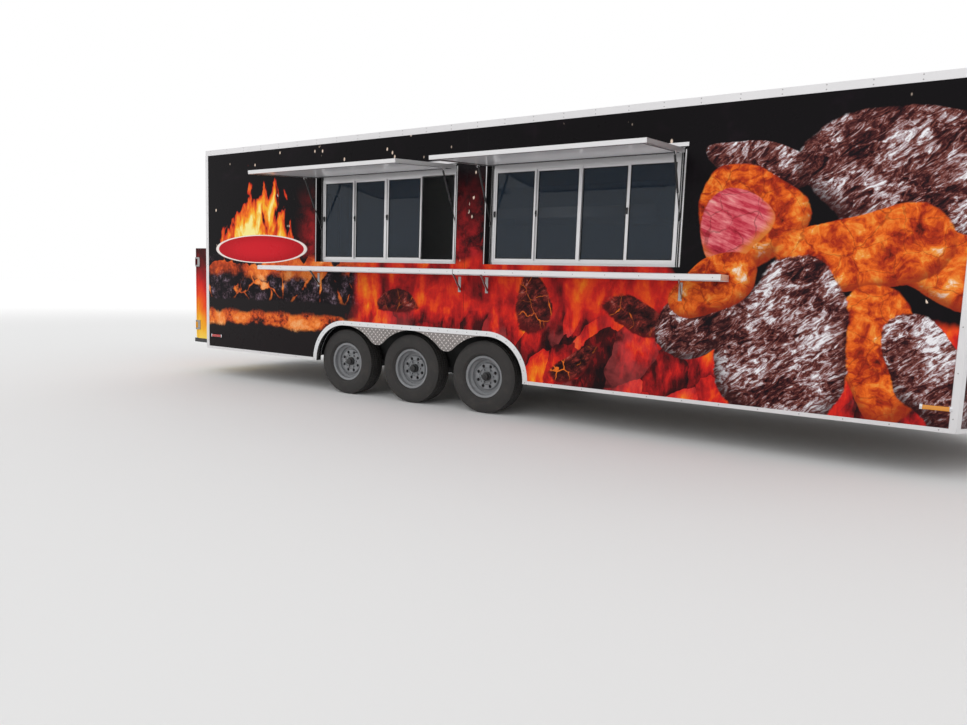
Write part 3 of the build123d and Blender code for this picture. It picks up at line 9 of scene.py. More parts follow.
import json
import logging
import math
from dataclasses import dataclass
from enum import Enum
from typing import Callable, Iterable, Sequence, Union

import bmesh
import bpy
from mathutils import Matrix, Vector


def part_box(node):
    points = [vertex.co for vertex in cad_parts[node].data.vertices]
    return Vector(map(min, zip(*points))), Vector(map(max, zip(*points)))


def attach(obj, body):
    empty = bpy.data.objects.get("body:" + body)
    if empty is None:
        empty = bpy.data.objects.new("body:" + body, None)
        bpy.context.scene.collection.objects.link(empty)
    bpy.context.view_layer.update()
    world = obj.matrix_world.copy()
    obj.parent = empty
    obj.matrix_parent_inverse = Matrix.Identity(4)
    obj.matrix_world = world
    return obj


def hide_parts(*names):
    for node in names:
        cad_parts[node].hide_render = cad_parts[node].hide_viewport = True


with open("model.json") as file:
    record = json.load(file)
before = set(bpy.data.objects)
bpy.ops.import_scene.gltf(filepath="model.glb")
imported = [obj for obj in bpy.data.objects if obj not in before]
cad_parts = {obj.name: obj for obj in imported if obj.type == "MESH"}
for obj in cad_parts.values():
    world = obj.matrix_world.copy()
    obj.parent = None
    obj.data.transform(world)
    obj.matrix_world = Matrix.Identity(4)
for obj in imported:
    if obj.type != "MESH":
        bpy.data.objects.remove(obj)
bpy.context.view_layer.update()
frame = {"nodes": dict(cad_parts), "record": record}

log = logging.getLogger("trailer")

BMesh = bmesh.types.BMesh
Material = bpy.types.Material
Colour = tuple[float, float, float]
Number = Union[float, int, "Field"]

BLACK: Colour = (0.0, 0.0, 0.0)
WHITE: Colour = (1.0, 1.0, 1.0)
UP = Vector((0, 0, 1))
BACK = Vector((-1, 0, 0))
QUARTER_TURN = Matrix.Rotation(math.radians(90), 4, "X")
NOSE_TIP_HALF = 0.23
FILM_SEAM_X = -5.82
HEAD_TAPER = 0.55
SASH_INSET = 0.048
BEHIND_RAYS = ("Is Camera Ray", "Is Glossy Ray", "Is Transmission Ray")


def shade(colour: Colour, factor: float) -> Colour:
    """A colour made darker, or lighter, by a factor."""
    return tuple(c * factor for c in colour)


# Shader maths


def maths(operation: str, turned: bool = False) -> Callable[["Field", Number], "Field"]:
    """Make a method of Field that adds a Math node of two values.

    Args:
        operation: The Math node's operation.
        turned: Whether the field is the second of the two values.

    Returns:
        The method.
    """
    def method(self: "Field", other: Number) -> "Field":
        """The result of the operation on the field and another value."""
        values = (other, self) if turned else (self, other)
        return self.tree.add("ShaderNodeMath", {"operation": operation}, dict(enumerate(values)))

    return method


class Field:
    """A socket in a material's node tree that can be used in Python expressions."""

    def __init__(self, tree: "Tree", socket: bpy.types.NodeSocket) -> None:
        """Wrap a socket.

        Args:
            tree: The tree that holds the socket.
            socket: An output socket.
        """
        self.tree = tree
        self.socket = socket

    __add__ = __radd__ = maths("ADD")
    __sub__ = maths("SUBTRACT")
    __rsub__ = maths("SUBTRACT", turned=True)
    __mul__ = __rmul__ = maths("MULTIPLY")
    __truediv__ = maths("DIVIDE")
    __pow__ = maths("POWER")
    __mod__ = maths("FLOORED_MODULO")
    __gt__ = maths("GREATER_THAN")
    __lt__ = maths("LESS_THAN")
    least = maths("MINIMUM")
    most = maths("MAXIMUM")

    def __neg__(self) -> "Field":
        """The value with its sign turned."""
        return self * -1.0

    def __abs__(self) -> "Field":
        """The value without its sign."""
        return self.tree.add("ShaderNodeMath", {"operation": "ABSOLUTE"}, {0: self})

    def sine(self) -> "Field":
        """The sine of the value in radians."""
        return self.tree.add("ShaderNodeMath", {"operation": "SINE"}, {0: self})

    def step(self, low: float, high: float) -> "Field":
        """A smooth step.

        Args:
            low: The value that gives zero.
            high: The value that gives one.

        Returns:
            The step, which may fall where low is above high.
        """
        ends = {1: low, 2: high, 3: 0.0, 4: 1.0} if low < high else {1: high, 2: low, 3: 1.0, 4: 0.0}
        return self.tree.add("ShaderNodeMapRange", {"interpolation_type": "SMOOTHSTEP"}, {0: self, **ends})


class Tree:
    """The node tree of one material, ending in a Principled BSDF."""

    def __init__(self, name: str) -> None:
        """Make an empty material.

        Args:
            name: The material's name.
        """
        self.material = bpy.data.materials.new(name)
        self.material.use_nodes = True
        self.nodes = self.material.node_tree.nodes
        self.links = self.material.node_tree.links
        self.nodes.clear()
        self.surface = self.nodes.new("ShaderNodeBsdfPrincipled")
        output = self.nodes.new("ShaderNodeOutputMaterial")
        self.links.new(self.surface.outputs[0], output.inputs[0])

    def plug(self, target: bpy.types.NodeSocket, value: object) -> None:
        """Set or link one input.

        Args:
            target: The input socket.
            value: A field, a colour or a number.
        """
        if isinstance(value, Field):
            self.links.new(value.socket, target)
        elif isinstance(value, tuple) and target.type == "RGBA":
            target.default_value = (*value[:3], 1.0)
        else:
            target.default_value = value

    def add(self, kind: str, settings: dict, inputs: dict, output: int | str = 0) -> Field:
        """Add a node.

        Args:
            kind: The node's type.
            settings: Properties, set before the inputs; "stops" fills a colour ramp.
            inputs: Values or fields by the input's index or name.
            output: The output to return.

        Returns:
            The chosen output.
        """
        node = self.nodes.new(kind)
        for key, value in settings.items():
            if key == "stops":
                ramp = node.color_ramp.elements
                while len(ramp) < len(value):
                    ramp.new(0.5)
                for element, (place, colour) in zip(ramp, value):
                    element.position = place
                    element.color = (*colour, 1.0)
            else:
                setattr(node, key, value)
        for key, value in inputs.items():
            self.plug(node.inputs[key], value)
        return Field(self, node.outputs[output])

    def place(self, scale: Sequence[float] = (1, 1, 1), shift: Sequence[float] = (0, 0, 0)) -> Field:
        """The surface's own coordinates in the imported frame, scaled and shifted."""
        coords = self.add("ShaderNodeTexCoord", {}, {}, "Object")
        if tuple(scale) == (1, 1, 1) and tuple(shift) == (0, 0, 0):
            return coords
        return self.add("ShaderNodeMapping", {},
                        {0: coords, "Scale": tuple(scale), "Location": tuple(shift)})

    def vector(self, a: Number, b: Number, c: Number) -> Field:
        """A vector from three numbers."""
        return self.add("ShaderNodeCombineXYZ", {}, {0: a, 1: b, 2: c})

    def stretch(self, where: Field, scale: Sequence[float], turn: float = 0.0) -> Field:
        """Coordinates turned about the Y axis by some degrees, then scaled."""
        if turn:
            angle = {"Vector": where, "Angle": math.radians(turn)}
            where = self.add("ShaderNodeVectorRotate", {"rotation_type": "Y_AXIS"}, angle)
        return self.add("ShaderNodeVectorMath", {"operation": "MULTIPLY"}, {0: where, 1: tuple(scale)})

    def axes(self, vector: Field) -> tuple[Field, Field, Field]:
        """The three parts of a vector."""
        node = self.add("ShaderNodeSeparateXYZ", {}, {0: vector}).socket.node
        return tuple(Field(self, output) for output in node.outputs)

    def noise(self, where: Field, scale: float, detail: float = 4.0, rough: float = 0.55,
              output: int = 0) -> Field:
        """Cloudy noise from nought to one."""
        return self.add("ShaderNodeTexNoise", {},
                        {"Vector": where, "Scale": scale, "Detail": detail, "Roughness": rough}, output)

    def cells(self, where: Field, scale: float, feature: str = "F1", output: str = "Distance") -> Field:
        """A Voronoi pattern's distance or colour."""
        return self.add("ShaderNodeTexVoronoi", {"feature": feature}, {"Vector": where, "Scale": scale},
                        output)

    def pick(self, where: Field, scale: float) -> Field:
        """A number from nought to one that is the same all over each cell of a Voronoi pattern."""
        return self.axes(self.cells(where, scale, output="Color"))[0]

    def warp(self, where: Field, scale: float, amount: float) -> Field:
        """Coordinates pushed about by noise."""
        push = self.noise(where, scale, 3.0, 0.5, output=1)
        centred = self.add("ShaderNodeVectorMath", {"operation": "SUBTRACT"}, {0: push, 1: (0.5, 0.5, 0.5)})
        scaled = self.add("ShaderNodeVectorMath", {"operation": "SCALE"}, {0: centred, "Scale": amount})
        return self.add("ShaderNodeVectorMath", {"operation": "ADD"}, {0: where, 1: scaled})

    def sparks(self, where: Field, scale: float, size: tuple[float, float], share: float) -> Field:
        """Soft dots in some of a Voronoi pattern's cells; size gives their outer and inner distances."""
        return self.cells(where, scale).step(*size) * (self.pick(where, scale) > share)

    def mix(self, share: Number, a: Colour | Field, b: Colour | Field) -> Field:
        """A colour between a and b."""
        return self.add("ShaderNodeMix", {"data_type": "RGBA"}, {0: share, 6: a, 7: b}, 2)

    def ramp(self, value: Field, stops: Sequence[tuple[float, Colour]]) -> Field:
        """A colour from a ramp."""
        return self.add("ShaderNodeValToRGB", {"stops": stops}, {0: value})

    def bump(self, height: Field, strength: float, distance: float) -> None:
        """Let a height disturb the surface's normal."""
        normal = self.add("ShaderNodeBump", {},
                          {"Strength": strength, "Distance": distance, "Height": height})
        self.links.new(normal.socket, self.surface.inputs["Normal"])

    def set(self, **values: object) -> Material:
        """Set the shader's sockets, with underscores for spaces, and return the material."""
        for key, value in values.items():
            self.plug(self.surface.inputs[key.replace("_", " ")], value)
        return self.material


# Finishes


@dataclass(frozen=True)
class Finish:
    """A named look, made into a material by its own sockets."""

    name: str

    def sockets(self, tree: Tree) -> dict[str, object]:
        """The shader's sockets with underscores for spaces, as fields, colours or numbers."""
        raise NotImplementedError

    def material(self) -> Material:
        """The finish as a material."""
        tree = Tree(self.name)
        return tree.set(**self.sockets(tree))


@dataclass(frozen=True)
class Paint(Finish):
    """Sprayed enamel with a faint orange peel and light dust."""

    colour: Colour
    rough: float = 0.3
    coat: float = 0.3
    dust: float = 0.06

    def sockets(self, tree: Tree) -> dict[str, object]:
        """The looks in the shader's sockets."""
        where = tree.place()
        dust = tree.noise(where, 3.0, 6.0, 0.6)
        pale = tuple(min(1.0, c + self.dust) for c in self.colour)
        peel = tree.noise(where, 260.0, 2.0)
        tree.bump(peel, 0.06, 0.001)
        return dict(Base_Color=tree.mix(dust.step(0.35, 0.75), self.colour, pale),
                    Roughness=self.rough + 0.12 * dust, Coat_Weight=self.coat, Coat_Roughness=0.08,
                    Specular_IOR_Level=0.3)


@dataclass(frozen=True)
class Metal(Finish):
    """Bare metal with fine drawing marks along one axis."""

    colour: Colour
    rough: float = 0.3
    grain: tuple[float, float, float] = (6.0, 300.0, 300.0)
    stain: float = 0.1
    metallic: float = 1.0

    def sockets(self, tree: Tree) -> dict[str, object]:
        """The looks in the shader's sockets."""
        lines = tree.noise(tree.place(self.grain), 1.0, 3.0, 0.6)
        cloud = tree.noise(tree.place(), 4.0, 5.0, 0.6)
        dull = shade(self.colour, 1.0 - self.stain)
        tree.bump(lines, 0.12, 0.0006)
        return dict(Base_Color=tree.mix(cloud, self.colour, dull), Metallic=self.metallic,
                    Roughness=(self.rough - 0.06) + 0.14 * lines + 0.08 * cloud)


@dataclass(frozen=True)
class TreadPlate(Finish):
    """Bright sheet with the raised lozenges of floor plate, dull in the hollows between them."""

    colour: Colour
    hollow: Colour
    pitch: float = 0.026

    def sockets(self, tree: Tree) -> dict[str, object]:
        """The looks in the shader's sockets."""
        x, y, z = tree.axes(tree.place())
        u, v = (x + y) / self.pitch, z / self.pitch
        row, column = ((u + v) * 0.5) % 1.0, ((u - v) * 0.5) % 1.0
        turn = ((u + v) * 0.25) % 1.0 > 0.5
        a, b = abs(row - 0.5), abs(column - 0.5)
        lying = (0.5 - a * 1.15 - b * 2.6).step(0.0, 0.14)
        standing = (0.5 - a * 2.6 - b * 1.15).step(0.0, 0.14)
        raised = lying * turn + standing * (1.0 - turn)
        tree.bump(raised, 0.9, 0.0018)
        cloud = tree.noise(tree.place(), 5.0, 5.0)
        bright = (raised * 0.85 + cloud * 0.25).least(1.0)
        return dict(Base_Color=tree.mix(bright, self.hollow, self.colour), Metallic=0.7,
                    Roughness=0.46 - 0.14 * raised)


@dataclass(frozen=True)
class Rubber(Finish):
    """Black rubber with grey dust in its hollows."""

    colour: Colour = (0.022, 0.022, 0.023)
    dust: Colour = (0.11, 0.105, 0.1)
    amount: float = 0.35

    def sockets(self, tree: Tree) -> dict[str, object]:
        """The looks in the shader's sockets."""
        where = tree.place()
        cloud = tree.noise(where, 9.0, 8.0, 0.65)
        fine = tree.noise(where, 160.0, 3.0)
        tree.bump(fine, 0.2, 0.0008)
        return dict(Base_Color=tree.mix(cloud.step(0.45, 0.8) * self.amount, self.colour, self.dust),
                    Roughness=0.62 + 0.25 * cloud)


@dataclass(frozen=True)
class Glass(Finish):
    """Dark tinted window glass with faint smears."""

    colour: Colour = (0.01, 0.02, 0.034)
    clear: float = 0.62

    def sockets(self, tree: Tree) -> dict[str, object]:
        """The looks in the shader's sockets."""
        smear = tree.noise(tree.place((1, 1, 3)), 3.0, 6.0, 0.7)
        return dict(Base_Color=tree.mix(smear, self.colour, shade(self.colour, 1.6)),
                    Roughness=0.015 + 0.05 * smear, Alpha=self.clear, IOR=1.5, Specular_IOR_Level=0.45)


@dataclass(frozen=True)
class FramedWindow(Finish):
    """Bright extruded frame whose side jambs are black, with two thin bright lines on each painted as
    highlights on the jamb profile's edges.
    """

    middle: float
    sash_half: float
    colour: Colour = (0.8, 0.79, 0.8)
    jamb: Colour = (0.012, 0.012, 0.013)
    highlight_lines: tuple[float, ...] = (0.012, 0.03)

    def sockets(self, tree: Tree) -> dict[str, object]:
        """The looks in the shader's sockets."""
        x = tree.axes(tree.place())[0]
        beyond = abs(x - self.middle) - self.sash_half
        black = beyond > 0.0015
        # The two thin bright lines on each black jamb are painted highlights, standing for light caught on
        # the profile's edges.
        for bead in self.highlight_lines:
            black = black * (1.0 - (abs(beyond - bead) < 0.0018))
        lines = tree.noise(tree.place((6.0, 260.0, 260.0)), 1.0, 3.0, 0.6)
        cloud = tree.noise(tree.place(), 4.0, 5.0, 0.6)
        bright = tree.mix(cloud, self.colour, shade(self.colour, 0.92))
        tree.bump(lines, 0.1, 0.0006)
        return dict(Base_Color=tree.mix(black, bright, self.jamb), Metallic=0.55 * (1.0 - black),
                    Roughness=0.3 + 0.12 * lines + 0.1 * cloud)


@dataclass(frozen=True)
class Lens(Finish):
    """A moulded lamp lens with upright flutes."""

    colour: Colour
    pitch: float = 0.006

    def sockets(self, tree: Tree) -> dict[str, object]:
        """The looks in the shader's sockets."""
        x, y, _ = tree.axes(tree.place())
        flute = ((x + y) * (math.tau / self.pitch)).sine() * 0.5 + 0.5
        deep = shade(self.colour, 0.55)
        tree.bump(flute, 0.5, 0.0012)
        return dict(Base_Color=tree.mix(flute, deep, self.colour), Roughness=0.12 + 0.06 * flute,
                    Coat_Weight=0.6)


@dataclass(frozen=True)
class Plywood(Finish):
    """Coated boards with a dark film and scuffs."""

    colour: Colour = (0.23, 0.15, 0.09)

    def sockets(self, tree: Tree) -> dict[str, object]:
        """The looks in the shader's sockets."""
        grain = tree.noise(tree.place((1.2, 14.0, 14.0)), 3.0, 6.0, 0.7)
        dark = shade(self.colour, 0.55)
        tree.bump(grain, 0.2, 0.001)
        return dict(Base_Color=tree.mix(grain.step(0.3, 0.7), dark, self.colour),
                    Roughness=0.55 + 0.25 * grain)


class Skin(Enum):
    """The looks that a printed lump can have."""

    CRUST = "crust"
    GLAZE = "glaze"
    GLOW = "glow"
    COAL = "coal"


@dataclass(frozen=True)
class Lump:
    """One printed lump: its middle, its half sizes in metres and its tilt in degrees."""

    along: float
    up: float
    length: float
    height: float
    tilt: float
    skin: Skin


@dataclass(frozen=True)
class EmberFilm(Finish):
    """Glossy printed film on the body's outer faces, unrolled so that the print runs on past each corner.

    It shows a night ground with sparks, a heap of coals at the rear, fire below the openings and
    large charred and glazed lumps in front. Cut edges are painted dark: dark seals at the openings
    and painted shade at the wheel arches. The inner faces are white. The badge has its middle along
    the skin, its level and its half sizes; the pairs are where a change along the skin starts and ends.
    """

    rear: float
    corner: float
    nose: float
    half: float
    tip_half: float
    seam: float
    rear_reach: float = 0.15
    skin_depth: float = 0.072
    face_depth: float = 0.003
    nose_slack: float = 0.044
    badge: tuple[float, float, float, float] = (-8.72, 1.13, 0.78, 0.165)
    burst_height: float = 0.85
    heap_end: tuple[float, float] = (-7.1, -7.32)
    glow_start: tuple[float, float] = (-8.16, -7.86)
    glow_end: tuple[float, float] = (-5.3, -5.62)
    fire_top: float = 1.04
    front_drop: float = 0.42
    front_start: tuple[float, float] = (-3.95, -3.45)
    lumps: tuple[Lump, ...] = (
        Lump(-6.62, 0.56, 0.26, 0.12, 12.0, Skin.COAL),
        Lump(-5.05, 0.6, 0.16, 0.28, -14.0, Skin.COAL),
        Lump(-4.66, 0.14, 0.32, 0.12, 24.0, Skin.COAL),
        Lump(-4.16, 0.62, 0.34, 0.14, -8.0, Skin.COAL),
        Lump(-3.16, 1.82, 0.4, 0.2, -10.0, Skin.CRUST),
        Lump(-3.24, 1.34, 0.4, 0.44, 20.0, Skin.GLAZE),
        Lump(-3.36, 1.26, 0.27, 0.29, 30.0, Skin.GLOW),
        Lump(-3.56, 0.62, 0.4, 0.28, 10.0, Skin.CRUST),
        Lump(-3.48, 0.86, 0.36, 0.2, 14.0, Skin.GLAZE),
        Lump(-1.2, 1.5, 0.66, 0.42, 8.0, Skin.CRUST),
        Lump(-2.16, 1.66, 0.76, 0.44, -14.0, Skin.CRUST),
        Lump(-1.74, 1.04, 0.62, 0.24, -12.0, Skin.GLAZE),
        Lump(-2.46, 1.1, 0.58, 0.29, 14.0, Skin.GLAZE),
        Lump(-2.18, 0.34, 0.24, 0.56, 10.0, Skin.GLAZE),
        Lump(-2.84, 0.38, 0.5, 0.62, -18.0, Skin.CRUST),
        Lump(-1.9, 0.24, 0.22, 0.5, 14.0, Skin.CRUST),
        Lump(-1.05, 0.42, 0.46, 0.46, -20.0, Skin.CRUST),
        Lump(-0.62, 1.1, 0.36, 0.3, 15.0, Skin.GLOW),
    )

    FIRE = ((0.0, (0.01, 0.004, 0.005)), (0.2, (0.06, 0.006, 0.007)), (0.36, (0.32, 0.01, 0.012)),
            (0.52, (0.66, 0.02, 0.014)), (0.66, (0.84, 0.075, 0.012)), (0.79, (0.9, 0.22, 0.012)),
            (0.91, (0.94, 0.46, 0.025)), (1.0, (0.96, 0.66, 0.1)))
    EMBERS = ((0.3, (0.1, 0.01, 0.006)), (0.46, (0.62, 0.075, 0.016)), (0.58, (0.9, 0.23, 0.035)),
              (0.72, (0.96, 0.52, 0.22)))
    ASH = ((0.42, (0.005, 0.003, 0.005)), (0.52, (0.055, 0.032, 0.042)), (0.6, (0.16, 0.11, 0.15)),
           (0.7, (0.48, 0.39, 0.47)))
    BURST = ((0.42, (0.03, 0.004, 0.004)), (0.5, (0.62, 0.03, 0.01)), (0.64, (0.9, 0.17, 0.012)),
             (0.8, (0.95, 0.5, 0.03)), (0.96, (0.97, 0.84, 0.3)))
    SKINS = {
        Skin.CRUST: ((0.41, (0.008, 0.004, 0.006)), (0.47, (0.06, 0.012, 0.013)),
                     (0.515, (0.21, 0.06, 0.045)), (0.55, (0.43, 0.33, 0.35)), (0.6, (0.86, 0.85, 0.88))),
        Skin.GLAZE: ((0.37, (0.07, 0.007, 0.005)), (0.45, (0.43, 0.032, 0.008)), (0.52, (0.8, 0.13, 0.012)),
                     (0.59, (0.89, 0.33, 0.05)), (0.65, (0.96, 0.85, 0.7))),
        Skin.GLOW: ((0.36, (0.26, 0.008, 0.02)), (0.46, (0.56, 0.04, 0.07)), (0.56, (0.78, 0.19, 0.21)),
                    (0.68, (0.93, 0.56, 0.48))),
        Skin.COAL: ((0.4, (0.006, 0.003, 0.004)), (0.5, (0.06, 0.01, 0.01)), (0.58, (0.26, 0.03, 0.022)),
                    (0.66, (0.56, 0.24, 0.2))),
    }
    RIMS = {Skin.CRUST: (0.024, 0.006, 0.007), Skin.GLAZE: (0.26, 0.02, 0.008),
            Skin.GLOW: (0.7, 0.2, 0.016), Skin.COAL: (0.11, 0.007, 0.008)}

    def unroll(self, x: Field, y: Field) -> tuple[Field, Field]:
        """Find where a point lies on the unrolled skin.

        Args:
            x: The point's X.
            y: The point's Y.

        Returns:
            The distance along the skin and the depth below its outer face.
        """
        run, narrowing = self.nose - self.corner, self.half - self.tip_half
        length = math.hypot(run, narrowing)
        side = abs(y)
        slant = (x - self.corner) * (narrowing / length) + (side - self.half) * (run / length)
        depth = -(side - self.half).most(self.rear - x).most(slant).most(x - self.nose)
        along = x + (x - self.corner).most(0.0) * (length / run - 1.0)
        return along - (self.half - side) * (x < self.rear + self.rear_reach), depth

    def fire(self, tree: Tree, flat: Field, z: Field, tongues: Field, swirl: Field) -> Field:
        """Soft flames over glowing facets."""
        facets = tree.warp(tree.stretch(flat, (1.25, 1.0, 0.8), -25.0), 2.8, 0.34)
        near = tree.cells(facets, 2.7)
        pick, tint, _ = tree.axes(tree.cells(facets, 2.7, output="Color"))
        fine = tree.noise(tree.warp(tree.stretch(flat, (3.4, 1.0, 1.5)), 2.4, 0.4), 3.0, 8.0, 0.62)
        low = 0.58 + 0.55 * (pick - 0.25) - 0.6 * near + 1.25 * (tongues - 0.5) + 1.05 * (fine - 0.5)
        high = 0.5 + 1.45 * (tongues - 0.5) + 0.9 * (swirl - 0.5) + 0.45 * (fine - 0.5)
        share = (z + 0.45 * (swirl - 0.5)).step(0.66, 0.34)
        colour = tree.ramp(high * (1.0 - share) + low * share, self.FIRE)
        return tree.mix((tint > 0.66) * swirl.step(0.42, 0.62) * share * 0.3, colour, (0.72, 0.1, 0.1))

    def heap(self, tree: Tree, flat: Field, z: Field, swirl: Field) -> Field:
        """Grey coals with embers between them, over a dark grate and a glowing bed."""
        piled = tree.warp(flat, 2.6, 0.34)
        edge = tree.cells(piled, 2.5, "DISTANCE_TO_EDGE")
        pick = tree.pick(piled, 2.5)
        facet = tree.cells(tree.warp(flat, 6.0, 0.1), 7.5)
        speck = tree.noise(tree.warp(flat, 12.0, 0.03), 26.0, 6.0, 0.8)
        dust = speck - 0.3 * (facet - 0.35) + 0.2 * (swirl - 0.5) - 0.12 * edge.step(0.12, 0.0)
        coal = tree.ramp(dust, self.ASH)
        embers = tree.ramp(swirl + 0.35 * (speck - 0.5), self.EMBERS)
        open_top = (z + 0.5 * (swirl - 0.5)).step(0.76, 0.88) * (pick > 0.3)
        lit = ((edge - 0.42 * (swirl - 0.47)).step(0.025, -0.02) * z.step(0.46, 0.66)).most(open_top)
        pile = tree.mix(lit, coal, embers)
        bed = abs(z + 0.26 * (swirl - 0.5) - 0.31).step(0.1, 0.05) * (0.6 * swirl + 0.4 * speck).step(0.4,
                                                                                                      0.5)
        grate = tree.mix(bed, (0.012, 0.009, 0.01), embers)
        return tree.mix((z + 0.1 * (swirl - 0.5)).step(0.52, 0.55), grate, pile)

    def night(self, tree: Tree, flat: Field, along: Field, z: Field, swirl: Field) -> Field:
        """A black ground, red beside the rear opening and between the two, with drifting sparks."""
        red = along.step(*self.glow_start) * along.step(*self.glow_end) * z.step(1.95, 0.95)
        grain = tree.noise(tree.warp(flat, 5.0, 0.2), 9.0, 6.0, 0.7)
        glow = red * (0.55 * swirl + 0.45 * grain).step(0.36, 0.6)
        ground = tree.mix(glow, (0.004, 0.003, 0.004),
                          tree.mix(grain, (0.22, 0.006, 0.012), (0.62, 0.02, 0.022)))
        haze = (swirl.step(0.54, 0.8) * 0.55) * (1.0 - red)
        ground = tree.mix(haze, ground, (0.016, 0.008, 0.014))
        where = tree.stretch(flat, (1.0, 1.0, 0.55))
        pick = tree.pick(where, 8.0)
        spark = tree.cells(where, 9.0).step(0.12, 0.06) * (pick > 0.35)
        return tree.mix(spark, ground, (0.93, 0.74, 0.6))

    def emblem(self, tree: Tree, flat: Field, along: Field, z: Field, under: Field) -> Field:
        """A burst of flames behind a blank oval badge with a pale rim."""
        middle, level, length, height = self.badge
        u, v = (along - middle) * (1.0 / length), (z - level) * (1.0 / height)
        rise = (z - level) * (1.0 / self.burst_height)
        lick = tree.noise(tree.warp(tree.stretch(flat, (3.4, 1.0, 1.3)), 2.2, 0.55), 2.0, 3.0, 0.5)
        heat = 1.18 - 0.95 * rise + 2.1 * (lick - 0.5) - 1.05 * u * u
        picture = tree.mix(heat.step(0.42, 0.47) * (rise > 0.0), under, tree.ramp(heat, self.BURST))
        reach = u * u + v * v
        plate = tree.mix(reach.step(0.0, 0.8), (0.62, 0.012, 0.022), (0.48, 0.008, 0.016))
        badge = tree.mix(reach.step(0.86, 0.89), plate, (0.86, 0.78, 0.74))
        return tree.mix(reach.step(1.02, 0.98), picture, badge)

    def lump(self, tree: Tree, lump: Lump, along: Field, z: Field, ragged: Field, skin: Field,
             under: Field) -> Field:
        """Lay one lump over the print, ragged at its outline and darker towards it.

        Args:
            tree: The material's tree.
            lump: The lump's place, size and look.
            along: The distance along the unrolled skin.
            z: The height.
            ragged: Noise that disturbs the outline.
            skin: The colour of the lump's look.
            under: The print so far.

        Returns:
            The print with the lump on it.
        """
        c, s = math.cos(math.radians(lump.tilt)), math.sin(math.radians(lump.tilt))
        across, rise = along - lump.along, z - lump.up
        p = across * (c / lump.length) + rise * (s / lump.length)
        q = rise * (c / lump.height) - across * (s / lump.height)
        soft = 0.1 if lump.skin is Skin.COAL else 0.02
        reach = p * p + q * q + (0.9 if lump.skin is Skin.COAL else 0.26) * (ragged - 0.5)
        # Shading drawn into the printed lump: darker towards its outline and lighter towards its top, as a
        # painted highlight in the picture.
        print_shaded = tree.mix((reach - 0.45 * q).step(0.6, 1.3) * 0.85, skin, self.RIMS[lump.skin])
        return tree.mix(reach.step(1.02 + soft, 0.98 - soft), under, print_shaded)

    def sockets(self, tree: Tree) -> dict[str, object]:
        """The looks in the shader's sockets."""
        x, y, z = tree.axes(tree.place())
        along, depth = self.unroll(x, y)
        flat = tree.vector(along, 0.0, z)
        tongues = tree.noise(tree.warp(tree.stretch(flat, (1.7, 1.0, 0.62)), 1.3, 0.7), 1.7, 7.0, 0.56)
        swirl = tree.noise(tree.warp(flat, 2.2, 0.45), 2.8, 6.0, 0.6)

        heap = (along + 0.5 * (swirl - 0.5)).step(*self.heap_end)
        low = tree.mix(heap, self.fire(tree, flat, z, tongues, swirl), self.heap(tree, flat, z, swirl))
        edge = self.fire_top - self.front_drop * along.step(*self.front_start)
        above = (z - edge + 0.34 * (tongues - 0.5) * (1.0 - heap)).step(-0.04, 0.05)
        picture = tree.mix(above, low, self.night(tree, flat, along, z, swirl))
        picture = self.emblem(tree, flat, along, z, picture)

        streaks = tree.noise(tree.warp(tree.stretch(flat, (13.0, 1.0, 34.0), 38.0), 0.3, 5.5), 1.0, 6.0,
                             0.7)
        blotch = tree.noise(tree.warp(flat, 4.0, 0.3), 7.5, 8.0, 0.66)
        fibres = tree.noise(tree.warp(tree.stretch(flat, (4.0, 1.0, 22.0), -24.0), 0.8, 0.9), 1.0, 5.0, 0.6)
        grain = {Skin.CRUST: 0.6 * streaks + 0.4 * swirl, Skin.GLAZE: 0.62 * blotch + 0.38 * swirl,
                 Skin.GLOW: 0.6 * fibres + 0.4 * swirl, Skin.COAL: 0.6 * blotch + 0.4 * streaks}
        skins = {kind: tree.ramp(grain[kind], stops) for kind, stops in self.SKINS.items()}
        cracks = tree.cells(tree.warp(flat, 5.0, 0.16), 4.6, "DISTANCE_TO_EDGE") + 0.1 * (blotch - 0.5)
        dark, hot = cracks.step(0.03, 0.004), cracks.step(0.022, 0.002) * swirl.step(0.44, 0.56)
        for kind in (Skin.GLAZE, Skin.GLOW):
            skins[kind] = tree.mix(dark * 0.45, skins[kind], (0.14, 0.008, 0.006))
        skins[Skin.COAL] = tree.mix(hot * 0.9, skins[Skin.COAL], (0.9, 0.19, 0.02))
        bend, _, lift = tree.axes(tree.noise(flat, 1.1, 1.0, 0.5, output=1))
        bent, lifted = along + 0.55 * (bend - 0.5), z + 0.55 * (lift - 0.5)
        for lump in self.lumps:
            picture = self.lump(tree, lump, bent, lifted, blotch, skins[lump.skin], picture)

        picture = tree.mix(abs(x - self.seam).step(0.0024, 0.0012) * 0.8, picture, (0.01, 0.01, 0.01))
        # Cut edges get a dark colour: the dark seals round the openings, and painted shade on the edges in
        # the wheel arches. Inner faces are white.
        inner = depth > self.skin_depth
        body = tree.mix(inner, (0.013, 0.013, 0.014), (0.74, 0.75, 0.76))
        face = depth < self.face_depth + self.nose_slack * (x > self.corner + 0.002)
        tree.bump(tree.noise(tree.place((0.5, 0.5, 1.2)), 2.2, 2.0), 0.08, 0.008)
        return dict(Base_Color=tree.mix(face, body, picture), Roughness=0.5 - 0.26 * face + 0.08 * swirl,
                    Coat_Weight=0.03 * face, Coat_Roughness=0.05, Specular_IOR_Level=0.07)


